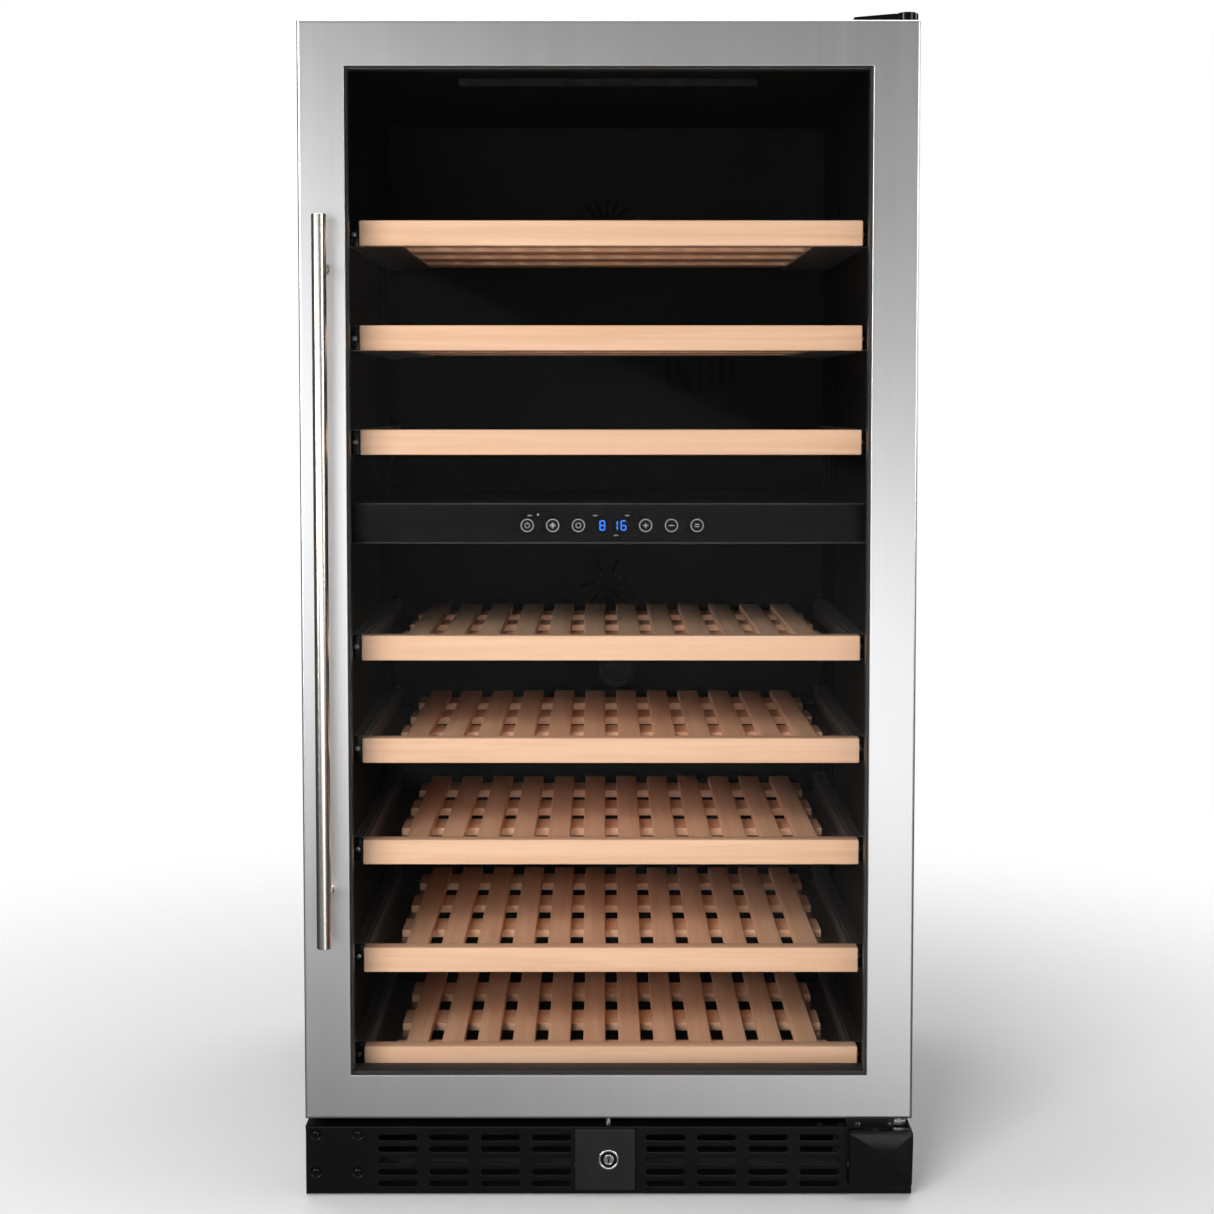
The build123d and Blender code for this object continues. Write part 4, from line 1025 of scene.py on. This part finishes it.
def make_back():
    """The back sheet with pressed beads, the louvred panel below it and their screws."""
    rear = (0.0, 1.0, 0.0)
    low, high = box("back_panel")
    level = high[1]
    middle = (low[2] + high[2]) / 2
    corner, margin = 0.030, 0.045
    bead = [(-corner, 0.0), (-0.0130, 0.0), (-0.0120, 0.0), (-0.0095, 0.0003), (-0.0060, 0.0016),
            (-0.0025, 0.0003), (0.0, 0.0), (0.0010, 0.0)]
    patches = []
    for z_low, z_high in ((low[2], middle), (middle, high[2])):
        hole = np.array([(low[0] + margin, z_low + margin), (high[0] - margin, z_high - margin)])
        patches.append(ring_cell([(low[0], z_low), (high[0], z_high)], hole, corner, bead, level, rear))
        patches.append(panel(hole[0] + corner, hole[1] - corner, level, rear))
    piece("back_sheet", patches, "cabinet_black", "cabinet", ["back_panel"], thick=0.0012)
    low, high = box("rear_grille")
    inlet_low, inlet_high = box("power_inlet")
    lip = [(0.0, 0.0012), (0.0002, 0.0005), (0.0007, 0.0001), (0.0015, 0.0), (0.0020, 0.0)]
    columns, rows, pitch, half = 10, 7, np.array([0.044, 0.016]), np.array([0.017, 0.003])
    field = (columns * pitch[0] / 2, rows * pitch[1] / 2)
    z_mid, inlet_top, play = 0.095, 0.060, 0.0006
    patches = []
    for i in range(columns):
        for j in range(rows):
            place = (i - (columns - 1) / 2, j - (rows - 1) / 2)
            centre = place * pitch + (0.0, z_mid)
            cell = [centre - pitch / 2, centre + pitch / 2]
            patches.append(ring_cell(cell, [centre - half, centre + half], 0.0028, lip, level, rear))
    patches.append(panel((low[0], z_mid + field[1]), (high[0], high[2]), level, rear))
    patches.append(panel((field[0], low[2]), (high[0], z_mid + field[1]), level, rear))
    patches.append(panel((-field[0], low[2]), (field[0], z_mid - field[1]), level, rear))
    patches.append(panel((low[0], inlet_top), (-field[0], z_mid + field[1]), level, rear))
    hole = [(inlet_low[0] - play, inlet_low[2] - play), (inlet_high[0] + play, inlet_high[2] + play)]
    patches.append(ring_cell([(low[0], low[2]), (-field[0], inlet_top)], hole, 0.0015, lip, level, rear))
    piece("louvre_panel", patches, "cabinet_black", "cabinet", ["rear_grille"], thick=0.0015)
    edge_x, row_z, foot_z = 0.285, 0.162, 0.030
    spots = [(x, z) for x in (-edge_x, edge_x) for z in np.linspace(0.190, 1.125, 7)]
    spots += [(x, row_z) for x in (-edge_x, -edge_x / 3, edge_x / 3, edge_x)]
    spots += [(-edge_x, foot_z), (edge_x, foot_z)]
    heads = [screw_head((x, level, z), "Y", outward=1, high=0.0018) for x, z in spots]
    piece("panel_screws", heads, "cover_black", "cabinet", sharp=40.0)


def make_walls():
    """Moulded upright ribs on the liner's side walls.

    The rib's height is the square of the positive part of a cosine of the depth, faded out to
    nought at both ends of the wall.
    """
    wall = box("shelf_runners")[1][0] - 0.0001
    rib_high, rib_pitch, fade = 0.0011, 0.029, 0.004
    depth = np.linspace(0.060, 0.205, 181)
    rib = rib_high * np.clip(np.cos((depth - depth[0]) * FULL_TURN / rib_pitch), 0, 1) ** 2
    zones = ((0.215, 0.636), (0.682, 1.095))
    patches = []
    for side in (-1, 1):
        for z_low, z_high in zones:
            rows = np.array([(z_low, 0.0), (z_low + fade, 1.0), (z_high - fade, 1.0), (z_high, 0.0)])
            grid = np.empty((len(rows), len(depth), 3))
            grid[..., 0] = side * (wall - rows[:, 1:] * rib)
            grid[..., 1] = depth
            grid[..., 2] = rows[:, :1]
            patches.append(patch(grid, (-side, 0, 0)))
    piece("wall_ribs", patches, "liner_black", "cabinet")


# ---------------------------------------------------------------- stage
def add_light(name, power, size, place, aim, turn=0.0):
    """A soft rectangular light at a place, looking at a point, turned about its own axis."""
    data = bpy.data.lights.new(name, "AREA")
    data.shape = "RECTANGLE"
    data.size, data.size_y = size
    data.energy = power
    light = bpy.data.objects.new(name, data)
    light.location = place
    way = Vector(aim) - Vector(place)
    light.rotation_mode = "QUATERNION"
    light.rotation_quaternion = way.to_track_quat("-Z", "Y") @ Quaternion((0, 0, 1), turn)
    bpy.context.scene.collection.objects.link(light)
    return light


def make_stage(sizes):
    """A pale floor that fades out, soft lights and the camera.

    The left, right and rim lights show in gloss only and the fill light on matt surfaces only.
    """
    scene = bpy.context.scene
    sky = Shade("Studio", world=True)
    seen = sky.node("ShaderNodeLightPath", {}, {}, "Is Camera Ray")
    sideways = sky.axis("X").size().step(0.45, 0.9)
    dim = sizes.world * (1.0 - sideways * sizes.flags)
    scene.world = sky.finish(Color=(1.0, 1.0, 1.0), Strength=seen + (1.0 - seen) * dim)
    mesh = bpy.data.meshes.new("floor")
    mesh.from_pydata([(-3, -3, 0), (3, -3, 0), (3, 3, 0), (-3, 3, 0)], [], [(0, 1, 2, 3)])
    s = Shade("floor_paper")
    fibre = s.noise((90.0,) * 3, 3.0, 0.6)
    reach = (s.axis("X") ** 2.0 + s.axis("Y") ** 2.0) ** 0.5
    mesh.materials.append(s.finish(Base_Color=s.mix(fibre, (0.92, 0.92, 0.92), (0.95, 0.95, 0.95)),
                                   Roughness=0.85 + fibre * 0.1, Alpha=1.0 - reach.step(0.42, 1.5)))
    floor = bpy.data.objects.new("floor", mesh)
    scene.collection.objects.link(floor)
    floor.visible_glossy = False
    add_light("key", sizes.key, (3.0, 0.95), (0.0, -2.5, 0.35), (0.0, 0.0, 0.36), turn=sizes.tilt)
    for light in (
        add_light("left", sizes.side[0], (0.7, 1.9), (-2.2, -2.0, 1.4), (-0.2, -0.2, 0.7)),
        add_light("right", sizes.side[1], (0.8, 1.9), (2.1, -1.9, 1.4), (0.2, -0.2, 0.7)),
        add_light("rim", sizes.rim, (1.3, 1.9), (2.7, 1.1, 1.5), (0.3, 0.1, 0.6)),
    ):
        light.visible_diffuse = False
    fill = add_light("fill", sizes.fill, (1.2, 1.2), (-0.9, -2.5, 1.3), (0.0, -0.2, 0.6))
    fill.visible_glossy = False
    add_light("top", sizes.top, (3.0, 3.0), (0.0, 0.8, 3.6), (0.0, 0.8, 0.0))
    data = bpy.data.cameras.new("camera")
    data.lens = sizes.lens
    data.shift_x, data.shift_y = sizes.shift
    camera = bpy.data.objects.new("camera", data)
    camera.location = sizes.eye
    camera.rotation_euler = (np.pi / 2 - sizes.nod, 0.0, 0.0)
    scene.collection.objects.link(camera)
    scene.camera = camera
    scene.view_settings.view_transform = "Standard"


# ---------------------------------------------------------------- operators
class COOLER_OT_finishes(bpy.types.Operator):
    """Give every CAD node its finish"""

    bl_idname = "cooler.finishes"
    bl_label = "Finishes"

    def execute(self, context):
        finish_nodes()
        return {"FINISHED"}


class COOLER_OT_plinth(bpy.types.Operator):
    """Make the pressed plinth sheet and all screw heads"""

    bl_idname = "cooler.plinth"
    bl_label = "Plinth and screws"

    def execute(self, context):
        make_plinth(context.scene.cooler_plinth)
        make_screws(context.scene.cooler_plinth)
        return {"FINISHED"}


class COOLER_OT_lock(bpy.types.Operator):
    """Make the lock cylinder"""

    bl_idname = "cooler.lock"
    bl_label = "Lock"

    def execute(self, context):
        make_lock()
        return {"FINISHED"}


class COOLER_OT_handle(bpy.types.Operator):
    """Make the handle and its stand-offs"""

    bl_idname = "cooler.handle"
    bl_label = "Handle"

    def execute(self, context):
        make_handle()
        return {"FINISHED"}


class COOLER_OT_seal(bpy.types.Operator):
    """Make the door's magnetic seal"""

    bl_idname = "cooler.seal"
    bl_label = "Door seal"

    def execute(self, context):
        make_gasket()
        return {"FINISHED"}


class COOLER_OT_covers(bpy.types.Operator):
    """Make the hinge covers"""

    bl_idname = "cooler.covers"
    bl_label = "Hinge covers"

    def execute(self, context):
        make_covers()
        return {"FINISHED"}


class COOLER_OT_air(bpy.types.Operator):
    """Make the fan rotors and the filter cap"""

    bl_idname = "cooler.air"
    bl_label = "Fans and filter"

    def execute(self, context):
        make_fans()
        make_filter()
        return {"FINISHED"}


class COOLER_OT_controls(bpy.types.Operator):
    """Make the marks on the control strip"""

    bl_idname = "cooler.controls"
    bl_label = "Control strip"

    def execute(self, context):
        make_marks()
        return {"FINISHED"}


class COOLER_OT_racks(bpy.types.Operator):
    """Make the wooden shelves and the caps of their slides"""

    bl_idname = "cooler.racks"
    bl_label = "Shelves"

    def execute(self, context):
        make_racks(context.scene.cooler_rack)
        make_slide_caps()
        return {"FINISHED"}


class COOLER_OT_back(bpy.types.Operator):
    """Make the back sheet, the louvred panel and their screws"""

    bl_idname = "cooler.back"
    bl_label = "Back"

    def execute(self, context):
        make_back()
        return {"FINISHED"}


class COOLER_OT_walls(bpy.types.Operator):
    """Make the ribs of the inner walls"""

    bl_idname = "cooler.walls"
    bl_label = "Inner walls"

    def execute(self, context):
        make_walls()
        return {"FINISHED"}


class COOLER_OT_stage(bpy.types.Operator):
    """Make the floor, lights and camera"""

    bl_idname = "cooler.stage"
    bl_label = "Stage"

    def execute(self, context):
        make_stage(context.scene.cooler_stage)
        return {"FINISHED"}


OPERATORS = (COOLER_OT_finishes, COOLER_OT_plinth, COOLER_OT_lock, COOLER_OT_handle, COOLER_OT_seal,
             COOLER_OT_covers, COOLER_OT_air, COOLER_OT_controls, COOLER_OT_racks, COOLER_OT_back,
             COOLER_OT_walls, COOLER_OT_stage)


class COOLER_PT_panel(bpy.types.Panel):
    """All steps, in order"""

    bl_label = "Wine cooler"
    bl_idname = "COOLER_PT_panel"
    bl_space_type = "VIEW_3D"
    bl_region_type = "UI"
    bl_category = "Cooler"

    def draw(self, context):
        for operator in OPERATORS:
            self.layout.operator(operator.bl_idname)


GROUPS = {"cooler_plinth": CoolerPlinth, "cooler_rack": CoolerRack, "cooler_stage": CoolerStage}


def register():
    for group in GROUPS.values():
        bpy.utils.register_class(group)
    for name, group in GROUPS.items():
        setattr(bpy.types.Scene, name, PointerProperty(type=group))
    for cls in (*OPERATORS, COOLER_PT_panel):
        bpy.utils.register_class(cls)


def unregister():
    for cls in (COOLER_PT_panel, *reversed(OPERATORS)):
        bpy.utils.unregister_class(cls)
    for name in GROUPS:
        delattr(bpy.types.Scene, name)
    for group in reversed(list(GROUPS.values())):
        bpy.utils.unregister_class(group)


def main():
    """Register the add-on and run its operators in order."""
    register()
    for operator in OPERATORS:
        group, name = operator.bl_idname.split(".")
        getattr(getattr(bpy.ops, group), name)()


if __name__ == "__main__":
    main()
